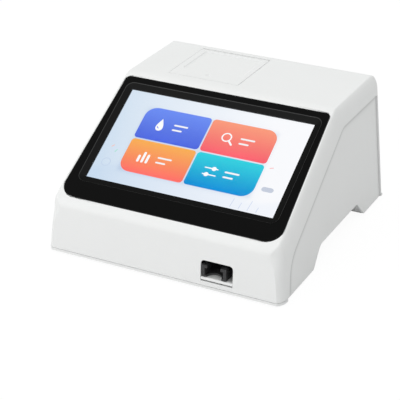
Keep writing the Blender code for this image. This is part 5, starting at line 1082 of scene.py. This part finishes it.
def baseMesh():
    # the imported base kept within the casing's front corners, which have the casing's own rounding
    half, behind = body["halfWidth"], base["behind"]
    across, deep = creasedQuarter(np.linspace(0, 1, base["edgeSteps"] + 1), body["edgeStart"][3])
    corner = np.stack((half - body["edgeAcross"][-1][1] * across, body["edgeDown"][3] * deep), -1)
    ring = np.concatenate((corner, [(half, behind), (-half, behind)], corner[::-1] * (-1, 1)))
    prism = [onFace("top", ring, out) for out in (base["below"], base["above"])]
    return combine(mergedMesh("base_plate"), toolMesh(*prism), "INTERSECT")


def trayMesh():
    # the tray's upper front edge is cut to a quarter circle, front + r * deep and top - r * across,
    # and a step is cut under its lip
    points = np.array([corner.co for corner in nodes["card_tray"].data.vertices])
    front, radius, beyond = points[:, 1].min(), tray["radius"], tray["beyond"]
    lip = points[points[:, 1] < front + tray["lip"]]
    low, top, outside = lip[:, 2].min(), lip[:, 2].max(), front - beyond
    across, deep = quarter(tray["steps"]).T
    edge = np.concatenate((np.stack((front + radius * deep, top - radius * across), -1), [
        (front + radius, top + beyond), (outside, top + beyond), (outside, top - radius),
    ]))
    back, rise = front + tray["stepBack"], tray["stepRise"]
    step = np.array([
        (outside, low - beyond), (back, low - beyond), (back, low), (back - rise, low + rise),
        (outside, low + rise),
    ])
    mesh, ends = mergedMesh("card_tray"), (lip[:, 0].min() - beyond, lip[:, 0].max() + beyond)
    for side in (edge, step):
        tool = toolMesh(*(np.insert(side, 0, end, 1) for end in ends))
        mesh = combine(mesh, tool, "DIFFERENCE")
    return mesh


softCopy("card_tray", "cardTray", "whiteShell", 0.00030, 3, 40, trayMesh())
softCopy("printer_lid", "printerLid", "whiteShell", 0.00035, 3, 40, lidMesh())
softCopy("base_plate", "basePlate", "whiteShell", 0.00030, 2, 40, baseMesh())
print("tray, lid and base cut to shape")

# light, floor and camera
light = {
    # the sky dims towards the right side, by a share of how far a direction points there
    "skyStrength": 0.98, "skyTint": (0.988, 1.0, 0.993), "rightDim": 0.425,
    "aim": (0, 0, 0.07),
    # the place, size, power and tint of each lamp
    "keyLight": ((-1.20, -2.30, 0.45), 1.6, 17.0, (1.0, 0.987, 0.993)),
    "topLight": ((0.75, -0.35, 2.25), 0.6, 6.3, (1, 1, 1)),
    "floorShown": 0.94, "floorLit": 0.07, "floorBounce": 0.74, "floorSize": 7.0,
    "floorDrop": 0.00015,
}
view = {
    "place": (0.6276, -1.2919, 0.7435), "yaw": 26.86, "pitch": 26.48, "lens": 127.6,
    "sensor": 36, "nearest": 0.05,
}


def areaLamp(name, place, size, power, tint):
    # a square lamp turned so that it points at the aim
    lamp = bpy.data.lights.new(name, "AREA")
    lamp.color = tint
    lamp.shape = "SQUARE"
    lamp.size = size
    lamp.energy = power
    holder = bpy.data.objects.new(name, lamp)
    holder.location = place
    holder.visible_glossy = False          # the glass shows no picture of the lamp
    x, y, z = np.array(light["aim"]) - place
    holder.rotation_euler = (math.atan2(math.hypot(x, y), -z), 0, math.atan2(x, -y) + math.pi)
    bpy.context.scene.collection.objects.link(holder)


def emptyWiring(owner):
    # a node tree without the nodes that it starts with
    wiring = Wiring(owner)
    wiring.tree.nodes.clear()
    return wiring


def seenDirectly(wiring):
    # 1 for a ray from the camera, and for one that comes through glass
    path = wiring.add("ShaderNodeLightPath").outputs
    rays = {0: path["Is Camera Ray"], 1: path["Is Transmission Ray"]}
    return wiring.add("ShaderNodeMath", rays, operation="MAXIMUM").outputs[0]


def paleWorld():
    # white where it is seen; as light, it depends on a direction alone, the same for every camera
    world = bpy.data.worlds.new("paleSky")
    bpy.context.scene.world = world
    wiring = emptyWiring(world)
    direct, full = seenDirectly(wiring), light["skyStrength"]
    direction = wiring.add("ShaderNodeNewGeometry").outputs["Incoming"]
    right = wiring.add("ShaderNodeSeparateXYZ", {0: direction}).outputs["X"]
    dim = wiring.span(right, full, full * (1 - light["rightDim"]), 0, -1)
    strength = wiring.add("ShaderNodeMix", {"Factor": direct, "A": dim, "B": 1}).outputs["Result"]
    tint = wiring.blend(direct, light["skyTint"], (1, 1, 1))
    sky = wiring.add("ShaderNodeBackground", {"Color": tint, "Strength": strength})
    wiring.add("ShaderNodeOutputWorld", {"Surface": sky.outputs[0]})


def paleFloor():
    # almost white where it is seen, and a plain grey for the light that it sends back
    half, down = light["floorSize"], -light["floorDrop"]
    mesh = bpy.data.meshes.new("paleFloor")
    corners = [(*corner, down) for corner in rectangle(-half, half, -half, half)]
    mesh.from_pydata(corners, [], [(0, 1, 2, 3)])
    floor = bpy.data.objects.new("paleFloor", mesh)
    bpy.context.scene.collection.objects.link(floor)
    material = bpy.data.materials.new("paleFloor")
    wiring = emptyWiring(material)
    seen = seenDirectly(wiring)
    bounce, lit = (
        wiring.add("ShaderNodeBsdfDiffuse", {"Color": (*[light[key]] * 3, 1)})
        for key in ("floorBounce", "floorLit")
    )
    glow = wiring.add("ShaderNodeEmission", {"Strength": light["floorShown"]})
    both = wiring.add("ShaderNodeAddShader", {0: lit.outputs[0], 1: glow.outputs[0]})
    mix = wiring.add("ShaderNodeMixShader", {0: seen, 1: bounce.outputs[0], 2: both.outputs[0]})
    wiring.add("ShaderNodeOutputMaterial", {"Surface": mix.outputs[0]})
    mesh.materials.append(material)


for name in ("keyLight", "topLight"):
    areaLamp(name, *light[name])
paleWorld()
paleFloor()

lens = bpy.data.cameras.new("photoView")
lens.lens = view["lens"]
lens.sensor_width = view["sensor"]
lens.clip_start = view["nearest"]
eye = bpy.data.objects.new("photoView", lens)
eye.location = view["place"]
eye.rotation_euler = (math.radians(90 - view["pitch"]), 0, math.radians(view["yaw"]))
bpy.context.scene.collection.objects.link(eye)
bpy.context.scene.camera = eye
bpy.context.scene.view_settings.view_transform = "Standard"
print("light and camera placed")
